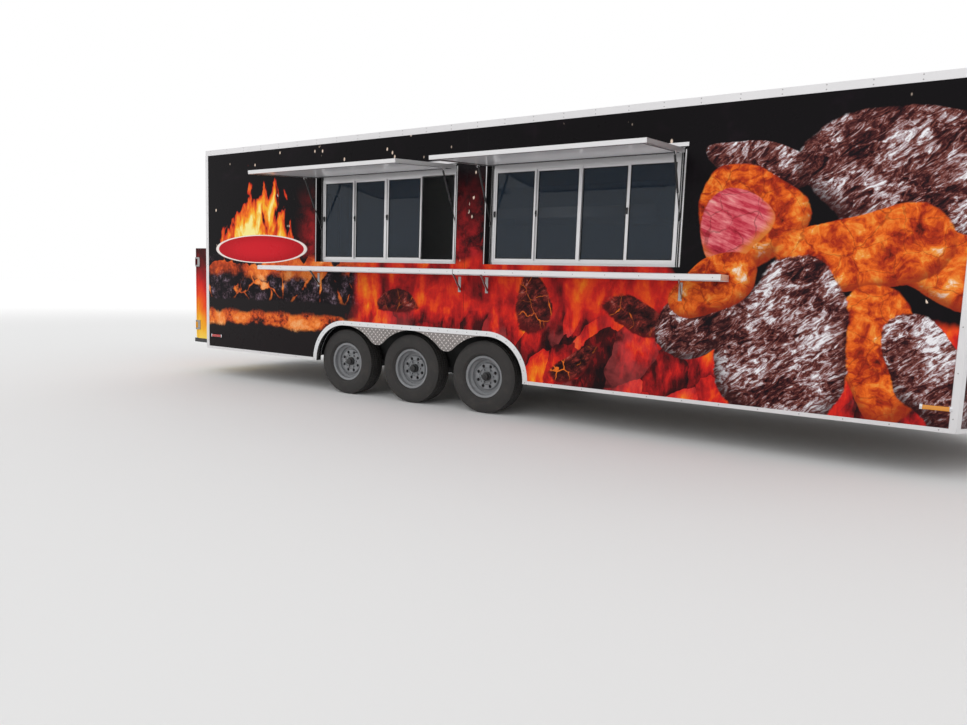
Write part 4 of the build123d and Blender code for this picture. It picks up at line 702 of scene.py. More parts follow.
@dataclass(frozen=True)
class FlamePanel(Finish):
    """Printed film on the utility cabinet: fire at the foot that dies away into a sparkling night."""

    foot: float
    head: float

    def sockets(self, tree: Tree) -> dict[str, object]:
        """The looks in the shader's sockets."""
        where = tree.place()
        z = tree.axes(where)[2]
        swirl = tree.noise(tree.warp(tree.place((1.6, 1.6, 0.7)), 1.6, 0.6), 2.4, 7.0, 0.6)
        up = (z - self.foot) * (1.0 / (self.head - self.foot))
        heat = 1.02 - 0.86 * up + 0.65 * (swirl - 0.5)
        fire = tree.ramp(heat, EmberFilm.FIRE)
        spark = tree.sparks(where, 11.0, (0.1, 0.04), 0.6) * up.step(0.45, 0.7)
        tree.bump(tree.noise(where, 2.2, 2.0), 0.08, 0.008)
        return dict(Base_Color=tree.mix(spark, fire, (0.93, 0.76, 0.62)), Roughness=0.26 + 0.08 * swirl,
                    Coat_Weight=0.03, Coat_Roughness=0.05, Specular_IOR_Level=0.07)


@dataclass(frozen=True)
class HatchSkin(Finish):
    """A hatch sheet: pale enamel inside and a night film with sparks outside."""

    normal: tuple[float, float, float]
    middle: float
    inside: Colour = (0.82, 0.84, 0.87)

    def sockets(self, tree: Tree) -> dict[str, object]:
        """The looks in the shader's sockets."""
        where = tree.place()
        height = tree.add("ShaderNodeVectorMath", {"operation": "DOT_PRODUCT"}, {0: where, 1: self.normal},
                          "Value")
        outer = height > self.middle
        cloud = tree.noise(where, 1.7, 5.0, 0.6)
        pale = tree.mix(cloud.step(0.3, 0.8), self.inside, shade(self.inside, 0.93))
        spark = tree.sparks(where, 15.0, (0.12, 0.03), 0.55)
        glow = tree.noise(tree.warp(where, 1.4, 0.6), 2.2, 7.0, 0.62)
        night = tree.mix(glow.step(0.52, 0.72), (0.006, 0.005, 0.008), (0.25, 0.014, 0.01))
        night = tree.mix(spark, night, (0.93, 0.78, 0.62))
        tree.bump(tree.noise(where, 6.0, 2.0), 0.05, 0.004)
        return dict(Base_Color=tree.mix(outer, pale, night), Roughness=0.16 + 0.14 * outer + 0.1 * cloud,
                    Coat_Weight=0.25 - 0.22 * outer, Coat_Roughness=0.05, Specular_IOR_Level=0.22)


# Building blocks


class Workshop:
    """The finishes in use, by material slot, and the making of pieces from meshes."""

    def __init__(self, finishes: dict[str, Material]) -> None:
        """Keep the finishes.

        Args:
            finishes: A material for each slot.
        """
        self.finishes = finishes

    def solid(self, name: str, mesh: BMesh, slot: str, body: str,
              smooth: float = 35.0) -> bpy.types.Object:
        """Turn a bmesh into a piece that rides on a body.

        Args:
            name: The piece's name.
            mesh: The shape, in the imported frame; it is freed here.
            slot: The material slot that it takes its finish from.
            body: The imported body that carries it.
            smooth: Edges flatter than this many degrees are shaded smooth.

        Returns:
            The new object.
        """
        bmesh.ops.remove_doubles(mesh, verts=mesh.verts, dist=1e-6)
        bmesh.ops.recalc_face_normals(mesh, faces=mesh.faces)
        data = bpy.data.meshes.new(name)
        mesh.to_mesh(data)
        mesh.free()
        data.materials.append(self.finishes[slot])
        data.shade_smooth()
        data.set_sharp_from_angle(angle=math.radians(smooth))
        piece = bpy.data.objects.new(name, data)
        bpy.context.scene.collection.objects.link(piece)
        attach(piece, body)
        log.info("piece %s: %d faces on %s", name, len(data.polygons), body)
        return piece

    def dress_nodes(self) -> None:
        """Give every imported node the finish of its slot."""
        for part in frame["record"]["subparts"]:
            node = frame["nodes"][part["node"]]
            node.data.materials.clear()
            finish = self.finishes.get(part["node"]) or self.finishes[part["material_slot"]]
            node.data.materials.append(finish)
            log.info("node %s: %s", part["node"], node.data.materials[0].name)


def bevel(mesh: BMesh, edges: Iterable[bmesh.types.BMEdge], width: float, segments: int = 2) -> None:
    """Round some edges of a mesh."""
    bmesh.ops.bevel(mesh, geom=list(edges), offset=width, segments=segments, profile=0.5, affect="EDGES",
                    offset_type="OFFSET", material=-1, clamp_overlap=True)


def join(mesh: BMesh, part: BMesh, matrix: Matrix) -> None:
    """Move a finished part to its place, add it to a mesh and free it."""
    bmesh.ops.transform(part, matrix=matrix, verts=part.verts)
    data = bpy.data.meshes.new("part")
    part.to_mesh(data)
    part.free()
    mesh.from_mesh(data)
    bpy.data.meshes.remove(data)


def aim(place: Vector, ahead: Vector) -> Matrix:
    """The matrix that takes the origin to a place and +Z to a direction."""
    return Matrix.Translation(place) @ ahead.to_track_quat("Z", "Y").to_matrix().to_4x4()


def cone(radius: float, tip: float, depth: float, sides: int) -> BMesh:
    """A capped bar or cone along Z, with the origin in its middle."""
    part = bmesh.new()
    bmesh.ops.create_cone(part, cap_ends=True, segments=sides, radius1=radius, radius2=tip, depth=depth)
    return part


def add_box(mesh: BMesh, low: Sequence[float], high: Sequence[float], round_by: float = 0.0,
            basis: Matrix | None = None) -> None:
    """Add a box between two corners, its edges rounded, in a local frame if one is given.

    Args:
        mesh: The mesh to add to.
        low: One corner.
        high: The other corner.
        round_by: How far its edges are rounded.
        basis: The matrix that takes the corners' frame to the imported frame.
    """
    part = bmesh.new()
    bmesh.ops.create_cube(part, size=1.0)
    bmesh.ops.scale(part, vec=[abs(b - a) for a, b in zip(low, high)], verts=part.verts)
    if round_by:
        bevel(part, part.edges, round_by)
    join(mesh, part, (basis or Matrix()) @ Matrix.Translation([(a + b) / 2 for a, b in zip(low, high)]))


def add_bar(mesh: BMesh, start: Vector, run: Vector, radius: float, sides: int = 16,
            tip: float | None = None) -> None:
    """Add a bar or cone that runs from a point."""
    part = cone(radius, radius if tip is None else tip, run.length, sides)
    join(mesh, part, aim(start + run / 2, run))


def add_dome(mesh: BMesh, place: Vector, outwards: Vector, radius: float, height: float) -> None:
    """Add a rivet's low domed head, standing on a surface."""
    join(mesh, cone(radius, radius * HEAD_TAPER, height, 8), aim(place + outwards * height / 2, outwards))


def add_ring(mesh: BMesh, centre: Vector, axis: Vector, profile: Sequence[tuple[float, float]],
             steps: int = 48, closed: bool = True) -> None:
    """Spin a profile about an axis.

    Args:
        mesh: The mesh to add to.
        centre: A point on the axis.
        axis: The axis, a unit vector.
        profile: Pairs of the distance along the axis and the radius.
        steps: Facets round the turn.
        closed: Whether the profile's last point joins its first.
    """
    part = bmesh.new()
    points = [part.verts.new((radius, 0.0, along)) for along, radius in profile]
    edges = [part.edges.new(pair) for pair in zip(points, points[1:])]
    if closed:
        edges.append(part.edges.new((points[-1], points[0])))
    bmesh.ops.spin(part, geom=points + edges, cent=(0, 0, 0), axis=(0, 0, 1), angle=math.tau, steps=steps,
                   use_merge=True)
    bmesh.ops.recalc_face_normals(part, faces=part.faces)
    join(mesh, part, aim(centre, axis))


def add_frame(mesh: BMesh, low: Vector, high: Vector, width: float) -> None:
    """Add a rectangular gasket lying in the XZ plane, between two corners."""
    part = bmesh.new()
    bmesh.ops.create_grid(part, x_segments=1, y_segments=1, size=0.5)
    size = high - low
    bmesh.ops.scale(part, vec=(size.x, size.z, 1.0), verts=part.verts)
    inner = bmesh.ops.inset_region(part, faces=part.faces[:], thickness=width, use_boundary=True,
                                   use_even_offset=True)
    middle = [f for f in part.faces if f not in inner["faces"]]
    bmesh.ops.delete(part, geom=middle, context="FACES")
    grown = bmesh.ops.extrude_face_region(part, geom=part.faces[:])
    moved = [v for v in grown["geom"] if isinstance(v, bmesh.types.BMVert)]
    bmesh.ops.translate(part, vec=(0, 0, size.y), verts=moved)
    bmesh.ops.recalc_face_normals(part, faces=part.faces)
    place = Matrix.Translation(((low.x + high.x) / 2, high.y, (low.z + high.z) / 2))
    join(mesh, part, place @ QUARTER_TURN)


def spread(start: float, end: float, pitch: float) -> list[float]:
    """Evenly spaced places between two ends, about a pitch apart."""
    count = max(1, round(abs(end - start) / pitch))
    return [start + (end - start) * k / count for k in range(count + 1)]


def loose_parts(node: str) -> list[tuple[Vector, Vector]]:
    """The boxes of a node's separate solids, from the rear forwards."""
    copy = bmesh.new()
    copy.from_mesh(frame["nodes"][node].data)
    bmesh.ops.remove_doubles(copy, verts=copy.verts, dist=1e-5)
    left, boxes = set(copy.verts), []
    while left:
        front = [left.pop()]
        group = list(front)
        while front:
            near = {vert for edge in front.pop().link_edges for vert in edge.verts} & left
            left -= near
            front += near
            group += near
        spots = [v.co for v in group]
        boxes.append((Vector(map(min, *spots)), Vector(map(max, *spots))))
    copy.free()
    return sorted(boxes, key=lambda pair: pair[0].x)


class Side(Enum):
    """The trailer's sides, each with the sign of its Y."""

    RIGHT = -1
    LEFT = 1

    @property
    def word(self) -> str:
        """The side's name in node names."""
        return self.name.lower()

    @property
    def out(self) -> Vector:
        """The direction out of this side."""
        return Vector((0, self.value, 0))


# Sub-assemblies


@dataclass
class RoadWheel:
    """One tyre with its tread and the fine parts of its steel wheel."""

    shop: Workshop
    side: Side
    number: int
    ribs: int = 5
    rib_width: float = 0.031
    groove: float = 0.008
    groove_depth: float = 0.007
    groove_slope: float = 0.0012
    tread_half: float = 0.09
    tread_band: float = 0.0055
    block_gap: float = 0.0016
    cut_depth: float = 0.004
    rim_half: float = 0.075
    valve_place: tuple[float, float] = (0.108, 0.044)
    valve_lengths: tuple[float, float] = (0.034, 0.008)
    lip_facets: int = 64
    cap_facets: int = 40
    bead: float = 0.2093
    seat: float = 0.1905
    segments: int = 96
    crown_gap: float = 0.0006
    crown_drop: float = 0.004

    @property
    def tag(self) -> str:
        """The end of the names of this wheel's nodes and pieces."""
        return f"{self.side.word}_{self.number}"

    @property
    def body(self) -> str:
        """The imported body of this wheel."""
        return f"road_wheel_{self.tag}"

    @property
    def tyre_node(self) -> str:
        """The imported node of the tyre."""
        return f"tyre_{self.tag}"

    def sizes(self) -> tuple[Vector, float, float]:
        """The tyre's middle, radius and half width."""
        low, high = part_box(self.tyre_node)
        return (low + high) / 2, (high.z - low.z) / 2, (high.y - low.y) / 2

    def profile(self) -> list[tuple[float, float]]:
        """The tyre's section, as distances along the axle and radii, grooves included."""
        _, radius, half = self.sizes()
        start = -(self.ribs * self.rib_width + (self.ribs - 1) * self.groove) / 2
        crown = []
        for k in range(self.ribs):
            a = start + k * (self.rib_width + self.groove)
            b = a + self.rib_width
            for p in (a, b):
                drop = self.crown_gap + self.crown_drop * (abs(p) / self.tread_half) ** 3
                crown.append((p, radius - drop))
            if k < self.ribs - 1:
                crown += [(b + self.groove_slope, radius - self.groove_depth),
                          (b + self.groove - self.groove_slope, radius - self.groove_depth)]
        sidewall = ((0.0925, 0.0085), (0.0975, 0.02), (0.103, 0.034), (0.1035, 0.036), (0.108, 0.058),
                    (half - 0.0003, 0.088), (half - 0.0012, 0.108), (0.108, 0.122), (0.1086, 0.1245),
                    (0.102, 0.136), (0.0925, 0.146))
        right = [(a, radius - drop) for a, drop in sidewall] + [(0.088, self.bead)]
        left = [(-a, r) for a, r in reversed(right)]
        rim = [(self.rim_half, self.bead), (self.rim_half, self.seat)]
        return left + crown + right + rim + [(-a, r) for a, r in reversed(rim)]

    def build_tyre(self) -> bpy.types.Object:
        """Build the tyre with blocks cut across its ribs, in place of the plain one."""
        centre, radius, _ = self.sizes()
        mesh = bmesh.new()
        add_ring(mesh, Vector(), Side.LEFT.out, self.profile(), self.segments)

        def on_tread(face: bmesh.types.BMFace) -> bool:
            """Whether a face lies on the outside of a rib."""
            middle = face.calc_center_median()
            reach = math.hypot(middle.x, middle.z)
            return reach > radius - self.tread_band and abs(middle.y) < self.tread_half

        listed = [face for face in mesh.faces if on_tread(face)]
        bmesh.ops.inset_individual(mesh, faces=listed, thickness=self.block_gap, depth=0.0)
        blocks, sunk = set(listed), set()
        for face in mesh.faces:
            if face not in blocks and on_tread(face):
                edge = max((e.verts[1].co - e.verts[0].co for e in face.edges), key=lambda v: v.length)
                if abs(edge.y) > 0.6 * edge.length:
                    sunk.update(v for v in face.verts if not blocks.intersection(v.link_faces))
        for vert in sunk:
            vert.co -= Vector((vert.co.x, 0, vert.co.z)).normalized() * self.cut_depth
        bmesh.ops.translate(mesh, vec=centre, verts=mesh.verts)
        tyre = self.shop.solid(f"{self.tyre_node}_tread", mesh, "rubber_tyre", self.body, 28.0)
        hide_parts(self.tyre_node)
        return tyre

    def build_trim(self) -> None:
        """Build the rim's double lip ring, the valve and the hub cap's rings."""
        out, centre = self.side.out, self.sizes()[0]
        mesh = bmesh.new()
        lip = [(0.0842, 0.2015), (0.0862, 0.203), (0.0866, 0.206), (0.085, 0.2078), (0.0838, 0.206)]
        step = [(0.08, 0.1846), (0.0816, 0.1866), (0.0802, 0.1886), (0.0786, 0.1866)]
        for ring in (lip, step):
            add_ring(mesh, centre, out, ring, self.lip_facets)
        self.shop.solid(f"rim_lip_{self.tag}", mesh, "wheel_grey", self.body)
        mesh = bmesh.new()
        (reach, start), (stem, top) = self.valve_place, self.valve_lengths
        root = centre + out * start + Vector((reach, 0, reach))
        add_bar(mesh, root, out * stem, 0.0042, 10, 0.0036)
        add_bar(mesh, root + out * stem, out * top, 0.005, 10, 0.0044)
        self.shop.solid(f"valve_{self.tag}", mesh, "strut_black", self.body)
        mesh = bmesh.new()
        cap = [(0.015, 0.0), (0.015, 0.0446), (0.0418, 0.0446), (0.0436, 0.042), (0.0436, 0.0352),
               (0.061, 0.0352), (0.0668, 0.033), (0.0694, 0.027), (0.0694, 0.015), (0.0706, 0.014),
               (0.0706, 0.0)]
        add_ring(mesh, centre, out, cap, self.cap_facets, closed=False)
        plate = [(0.002, 0.08), (0.002, 0.129), (0.004, 0.129), (0.004, 0.08)]
        add_ring(mesh, centre, out, plate, self.cap_facets)
        self.shop.solid(f"hub_cap_{self.tag}", mesh, "strut_black", self.body)


@dataclass
class Arch:
    """The rivets of the wheel arch on one side."""

    shop: Workshop
    side: Side
    pitch: float = 0.115
    inset: float = 0.025
    head: float = 0.0055
    rise: float = 0.0026

    def build(self) -> None:
        """Set rivets along the flange's middle line."""
        tyre_low, tyre_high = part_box(f"tyre_{self.side.word}_1")
        low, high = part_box("fender_flanges")
        axle = (tyre_low.z + tyre_high.z) / 2
        middle = (low.x + high.x) / 2
        span = (high.x - low.x) / 2 - (high.z - axle)
        radius = high.z - axle - self.inset
        face = high.y if self.side is Side.LEFT else low.y
        places = [(x, axle + radius) for x in spread(middle - span, middle + span, self.pitch)]
        for sign in (-1, 1):
            for angle in spread(0.0, math.radians(90), self.pitch / radius)[1:]:
                places.append((middle + sign * (span + radius * math.sin(angle)),
                               axle + radius * math.cos(angle)))
        mesh = bmesh.new()
        for x, z in places:
            add_dome(mesh, Vector((x, face, z)), self.side.out, self.head, self.rise)
        self.shop.solid(f"arch_rivets_{self.side.word}", mesh, "zinc", "trailer")


@dataclass
class ServingWindow:
    """The seals, latches and edge hems of one serving window."""

    shop: Workshop
    bay: str
    seal_width: float = 0.007
    seal_depth: float = 0.003
    seal_rises: tuple[float, float] = (0.0045, 0.0015)
    overlap: float = 0.001
    hem: float = 0.009
    gasket: float = 0.006
    latch: tuple[float, float, float] = (0.009, 0.01, 0.028)
    thumb: tuple[float, float, float] = (0.005, 0.019, 0.02)
    latch_inset: tuple[float, float] = (0.016, 0.007)
    latch_level: float = 0.52

    def build(self) -> None:
        """Lay a seal round each pane, a latch on each meeting stile and hems beside the opening."""
        panes = loose_parts(f"window_glass_{self.bay}")
        margin = Vector((self.overlap, 0, self.overlap))
        seals, latches = bmesh.new(), bmesh.new()
        for low, high in panes:
            for y in (low.y - self.seal_rises[0], high.y + self.seal_rises[1]):
                add_frame(seals, Vector((low.x, y, low.z)) - margin,
                          Vector((high.x, y + self.seal_depth, high.z)) + margin, self.seal_width)
            x, y = low.x - self.latch_inset[0], low.y - self.latch_inset[1]
            z = low.z + (high.z - low.z) * self.latch_level
            (half, out, up), (thumb, reach, top) = self.latch, self.thumb
            add_box(latches, (x - half, y - out, z - up), (x + half, y, z + up), 0.0025)
            add_box(latches, (x - thumb, y - reach, z - 0.008), (x + thumb, y - 0.008, z + top), 0.002)
        self.shop.solid(f"glazing_seals_{self.bay}", seals, "rubber_tyre", "trailer")
        self.shop.solid(f"sash_latches_{self.bay}", latches, "strut_black", "trailer")
        low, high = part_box(f"window_frame_{self.bay}")
        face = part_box("wall_right")[0].y
        for name, slot, start, width, rise in (
                ("hem", "bright_aluminium", self.overlap, self.hem, 0.0016),
                ("gasket", "rubber_tyre", self.overlap + self.hem, self.gasket, 0.003)):
            mesh = bmesh.new()
            for edge, out in ((low.x, -1), (high.x, 1)):
                near, far = sorted((edge + out * start, edge + out * (start + width)))
                add_box(mesh, (near, face - rise, low.z), (far, face + 0.0003, high.z - 0.01), 0.0006)
            self.shop.solid(f"window_{name}_{self.bay}", mesh, slot, "trailer")


@dataclass
class ServingHatch:
    """The seal and screws of one raised hatch."""

    shop: Workshop
    bay: str
    edge: float = 0.032
    seal: float = 0.012
    pitch: float = 0.18
    head: float = 0.0045
    rise: float = 0.0022

    def basis(self) -> tuple[Matrix, Vector, Vector]:
        """The hatch's own frame: +X along it, +Y from its hinge to its free edge, +Z out of its outer face.

        Returns:
            The frame's matrix, and the lowest and highest corners of the hatch's sheet in it.
        """
        sheet = frame["nodes"][f"hatch_panel_{self.bay}"].data
        flat = max(sheet.polygons, key=lambda face: (round(face.area, 4), face.normal.z))
        out = flat.normal.copy() if flat.normal.z > 0 else -flat.normal
        along = Vector((1, 0, 0))
        down = out.cross(along)
        down = down if down.y < 0 else -down
        matrix = Matrix((along, down, out)).transposed().to_4x4()
        inverse = matrix.inverted()
        places = [inverse @ v.co for v in sheet.vertices]
        return matrix, Vector(map(min, *places)), Vector(map(max, *places))

    def finish(self) -> HatchSkin:
        """The two-sided finish of the hatch's sheet."""
        matrix, low, high = self.basis()
        return HatchSkin(f"hatch_skin_{self.bay}", tuple(matrix.col[2][:3]), (low.z + high.z) / 2)

    def build(self) -> None:
        """Lay the seal on the inner face and screws round both faces of the edge channel."""
        matrix, low, high = self.basis()
        inside, seal, half = low.z - 0.0004, self.seal, self.edge / 2
        mesh = bmesh.new()
        for start, end in (((low.x, low.y), (high.x, low.y + seal)),
                           ((low.x, high.y - seal), (high.x, high.y)),
                           ((low.x, low.y + seal), (low.x + seal, high.y - seal)),
                           ((high.x - seal, low.y + seal), (high.x, high.y - seal))):
            add_box(mesh, (*start, inside - 0.005), (*end, inside + 0.001), 0.0015, matrix)
        self.shop.solid(f"hatch_seal_{self.bay}", mesh, "rubber_tyre", f"hatch_{self.bay}")
        margin = Vector((self.edge, self.edge, 0))
        a, b = low - margin, high + margin
        spots = [(x, y) for x in spread(a.x + 0.05, b.x - 0.05, self.pitch)
                 for y in (a.y + half, b.y - half)]
        spots += [(x, y) for y in spread(a.y + 0.08, b.y - 0.08, self.pitch)
                  for x in (a.x + half, b.x - half)]
        mesh = bmesh.new()
        for x, y in spots:
            for z, out in ((high.z + 0.002, UP), (low.z - 0.004, -UP)):
                add_dome(mesh, matrix @ Vector((x, y, z)), matrix.to_3x3() @ out, self.head, self.rise)
        self.shop.solid(f"hatch_screws_{self.bay}", mesh, "zinc", f"hatch_{self.bay}")


@dataclass
class Counter:
    """The screws of one folding counter."""

    shop: Workshop
    bay: str
    pitch: float = 0.3
    head: float = 0.0045
    rise: float = 0.002

    def build(self) -> None:
        """Add the screws of the counter's lip, top and ends."""
        low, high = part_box(f"counter_{self.bay}")
        mesh = bmesh.new()
        middle = (low.z + high.z) / 2
        for x in spread(low.x + 0.06, high.x - 0.06, self.pitch):
            add_dome(mesh, Vector((x, low.y, middle)), Side.RIGHT.out, self.head, self.rise)
            add_dome(mesh, Vector((x, high.y - 0.03, high.z)), UP, 0.005, 0.0016)
        for x, out in ((low.x, BACK), (high.x, -BACK)):
            for y in (low.y + 0.03, (low.y + high.y) / 2, high.y - 0.05):
                add_dome(mesh, Vector((x, y, middle)), out, self.head, self.rise)
        self.shop.solid(f"counter_screws_{self.bay}", mesh, "zinc", f"counter_top_{self.bay}")


@dataclass
class TrimScrews:
    """The screws along the roof's, the skirt's and the corners' trims."""

    shop: Workshop
    pitch: float = 0.3
    margin: float = 0.1
    trim: float = 0.0043
    trim_half: float = 0.024
    head: float = 0.0048
    rise: float = 0.002
    well_margin: float = 0.02

    def build(self) -> None:
        """Set screws along the trims of the sides, the nose and the rear, but none over the wheels."""
        low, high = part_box("body_trims")
        wall_low, wall_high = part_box("wall_left")
        rear, corner, half = wall_low.x, wall_high.x, wall_high.y
        nose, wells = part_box("wall_nose")[1].x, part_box("fender_flanges")
        mesh = bmesh.new()

        def screw(place: Sequence[float], out: Vector) -> None:
            """Set one screw's head on a wall's trim."""
            add_dome(mesh, Vector(place) + out * self.trim, out, self.head, self.rise)

        for z, skirt in ((low.z + 0.016, True), (high.z - 0.045, False), (high.z - 0.012, False)):
            for side in Side:
                for x in spread(rear + self.margin, corner - self.margin, self.pitch):
                    if not (skirt and wells[0].x - self.well_margin < x < wells[1].x + self.well_margin):
                        screw((x, side.value * half, z), side.out)
                start = Vector((corner, side.value * half, z))
                end = Vector((nose, side.value * NOSE_TIP_HALF, z))
                run = (end - start).normalized()
                out = Vector((abs(run.y), side.value * run.x, 0)).normalized()
                for share in spread(0.14, 0.86, 0.24):
                    screw(start.lerp(end, share), out)
            for y in spread(-half + self.margin, half - self.margin, self.pitch):
                screw((rear, y, z), BACK)
        for side in Side:
            for z in spread(low.z + self.margin, high.z - 0.12, self.pitch):
                screw((rear + self.trim_half, side.value * half, z), side.out)
                screw((rear, side.value * (half - self.trim_half), z), BACK)
                screw((corner - self.trim_half, side.value * half, z), side.out)
        self.shop.solid("trim_screws", mesh, "zinc", "trailer")


@dataclass
class Lamps:
    """Bright ends and screws of the marker lamps, and rubber rings of the tail lamps."""

    shop: Workshop

    def build(self) -> None:
        """Build the fittings of every lamp from the lamps' own boxes."""
        chrome, rubber = bmesh.new(), bmesh.new()
        for low, high in loose_parts("lamps_amber") + loose_parts("lamps_red"):
            size = high - low
            if size.y < 0.03 and size.x > 0.1:
                self.marker(chrome, low, high)
            elif size.x < 0.03 and abs(size.y - size.z) < 0.01:
                radius = size.z / 2
                ring = [(0.0, radius), (0.0, radius + 0.012), (0.01, radius + 0.009),
                        (0.015, radius + 0.001)]
                add_ring(rubber, Vector((high.x, *((low + high) / 2).yz)), BACK, ring, 40)
            else:
                add_box(rubber, (high.x - 0.004, low.y - 0.006, low.z - 0.006),
                        (high.x, high.y + 0.006, high.z + 0.006), 0.0015)
        self.shop.solid("lamp_ends", chrome, "rod_chrome", "trailer")
        self.shop.solid("lamp_seals", rubber, "rubber_tyre", "trailer")

    @staticmethod
    def marker(mesh: BMesh, low: Vector, high: Vector) -> None:
        """Put a bright end with a screw on both ends of one marker lamp."""
        side = Side.LEFT if low.y > 0 else Side.RIGHT
        inner = low.y if side is Side.LEFT else high.y
        outer = inner + side.value * 0.011
        for x, step in ((low.x, -1), (high.x, 1)):
            add_box(mesh, (x - step * 0.003, inner, low.z - 0.002),
                    (x + step * 0.018, outer, high.z + 0.002), 0.003)
            add_dome(mesh, Vector((x + step * 0.009, outer, (low.z + high.z) / 2)), side.out, 0.0038, 0.002)


@dataclass
class RearFittings:
    """The seal and lock of the rear door, and the louvres of the cabinet's door."""

    shop: Workshop
    door_width: float = 0.9
    seal: float = 0.012
    lock_radius: float = 0.011
    louvres: int = 7
    louvre_pitch: float = 0.026
    louvre_width: float = 0.3
    louvre_radius: float = 0.009
    louvre_foot: float = 0.16
    lock_screws: tuple[float, float] = (0.018, 0.078)

    def build(self) -> None:
        """Build the pieces on the rear door and on the cabinet's door."""
        low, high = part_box("rear_door")
        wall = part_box("wall_rear")[0].x
        y0, y1, z0, z1, seal = low.y, low.y + self.door_width, low.z, high.z, self.seal
        mesh = bmesh.new()
        for start, end in (((y0, z0), (y1, z0 + seal)), ((y0, z1 - seal), (y1, z1)),
                           ((y0, z0), (y0 + seal, z1)), ((y1 - seal, z0), (y1, z1))):
            add_box(mesh, (wall - 0.0035, *start), (wall + 0.001, *end), 0.0012)
        self.shop.solid("door_seal", mesh, "rubber_tyre", "rear_door_leaf")
        mesh = bmesh.new()
        lock = Vector((wall - 0.014, low.y + 0.07, low.z + (high.z - low.z) * 0.46))
        key = lock - Vector((0.0055, 0, 0.025))
        add_bar(mesh, lock - Vector((0, 0, 0.025)), BACK * 0.006, self.lock_radius, 20)
        add_box(mesh, (key.x - 0.002, key.y - 0.0012, key.z - 0.006),
                (key.x, key.y + 0.0012, key.z + 0.006))
        across, up = self.lock_screws
        for y, z in ((-across, -up), (across, -up), (-across, up), (across, up)):
            add_dome(mesh, lock + Vector((0, y, z)), BACK, 0.0038, 0.0018)
        self.shop.solid("door_lock", mesh, "rod_chrome", "rear_door_leaf")
        low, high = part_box("cabinet_door")
        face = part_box("utility_cabinet")[0].x - 0.0095
        mesh = bmesh.new()
        for k in range(self.louvres):
            place = (face, (low.y + high.y) / 2, low.z + self.louvre_foot + self.louvre_pitch * k)
            louvre = cone(self.louvre_radius, self.louvre_radius, self.louvre_width, 3)
            join(mesh, louvre, Matrix.Translation(place) @ QUARTER_TURN)
        self.shop.solid("cabinet_louvres", mesh, "wrap", "cabinet_door_leaf", 20.0)


@dataclass
class Running:
    """The bolts of the axle pads."""

    shop: Workshop
    bolt: float = 0.009
    length: float = 0.01
    along: tuple[float, float] = (-0.065, 0.065)
    across: tuple[float, float] = (0.925, 0.985)
    drop: float = 0.014

    def build(self) -> None:
        """Set hexagon bolt heads under what holds the axles."""
        mesh = bmesh.new()
        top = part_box("axle_beams")[1].z
        for low, high in loose_parts("axle_beams"):
            for side in Side:
                for along in self.along:
                    for across in self.across:
                        place = Vector(((low.x + high.x) / 2 + along, side.value * across, top - self.drop))
                        add_bar(mesh, place, -UP * self.length, self.bolt, 6)
        self.shop.solid("axle_bolts", mesh, "zinc", "trailer")


@dataclass
class Hitch:
    """The coupler's pin and bolts, and the jack crank's grip."""

    shop: Workshop
    pin_x: float = -0.11
    bolts_x: tuple[float, ...] = (-0.3, -0.24, -0.18)
    bolts_z: float = 0.006
    rings: int = 8
    ring_pitch: float = 0.011

    def build(self) -> None:
        """Build the small parts of the coupler and the jack."""
        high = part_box("coupler")[1]
        near = Side.LEFT.out
        mesh = bmesh.new()
        for y, length, radius, sides in ((-0.024, 0.048, 0.0045, 12), (-0.029, 0.006, 0.008, 6),
                                         (0.023, 0.006, 0.008, 6)):
            add_bar(mesh, Vector((self.pin_x, y, high.z - 0.008)), near * length, radius, sides)
        for x in self.bolts_x:
            for side in Side:
                add_bar(mesh, Vector((x, side.value * high.y, self.bolts_z)), side.out * 0.009, 0.011, 6,
                        0.0095)
        self.shop.solid("coupler_bolts", mesh, "zinc", "trailer")
        low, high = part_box("jack_tube")
        profile = [(0.0, 0.0112)]
        for k in range(self.rings):
            profile += [(0.006 + self.ring_pitch * k, 0.0145), (0.011 + self.ring_pitch * k, 0.013)]
        profile += [(0.096, 0.0145), (0.1004, 0.0125), (0.1004, 0.0112)]
        mesh = bmesh.new()
        place = Vector(((low.x + high.x) / 2, low.y + 0.1, high.z - 0.185))
        add_ring(mesh, place, Side.RIGHT.out, profile, 24)
        self.shop.solid("jack_grip", mesh, "rubber_tyre", "trailer")


# Studio


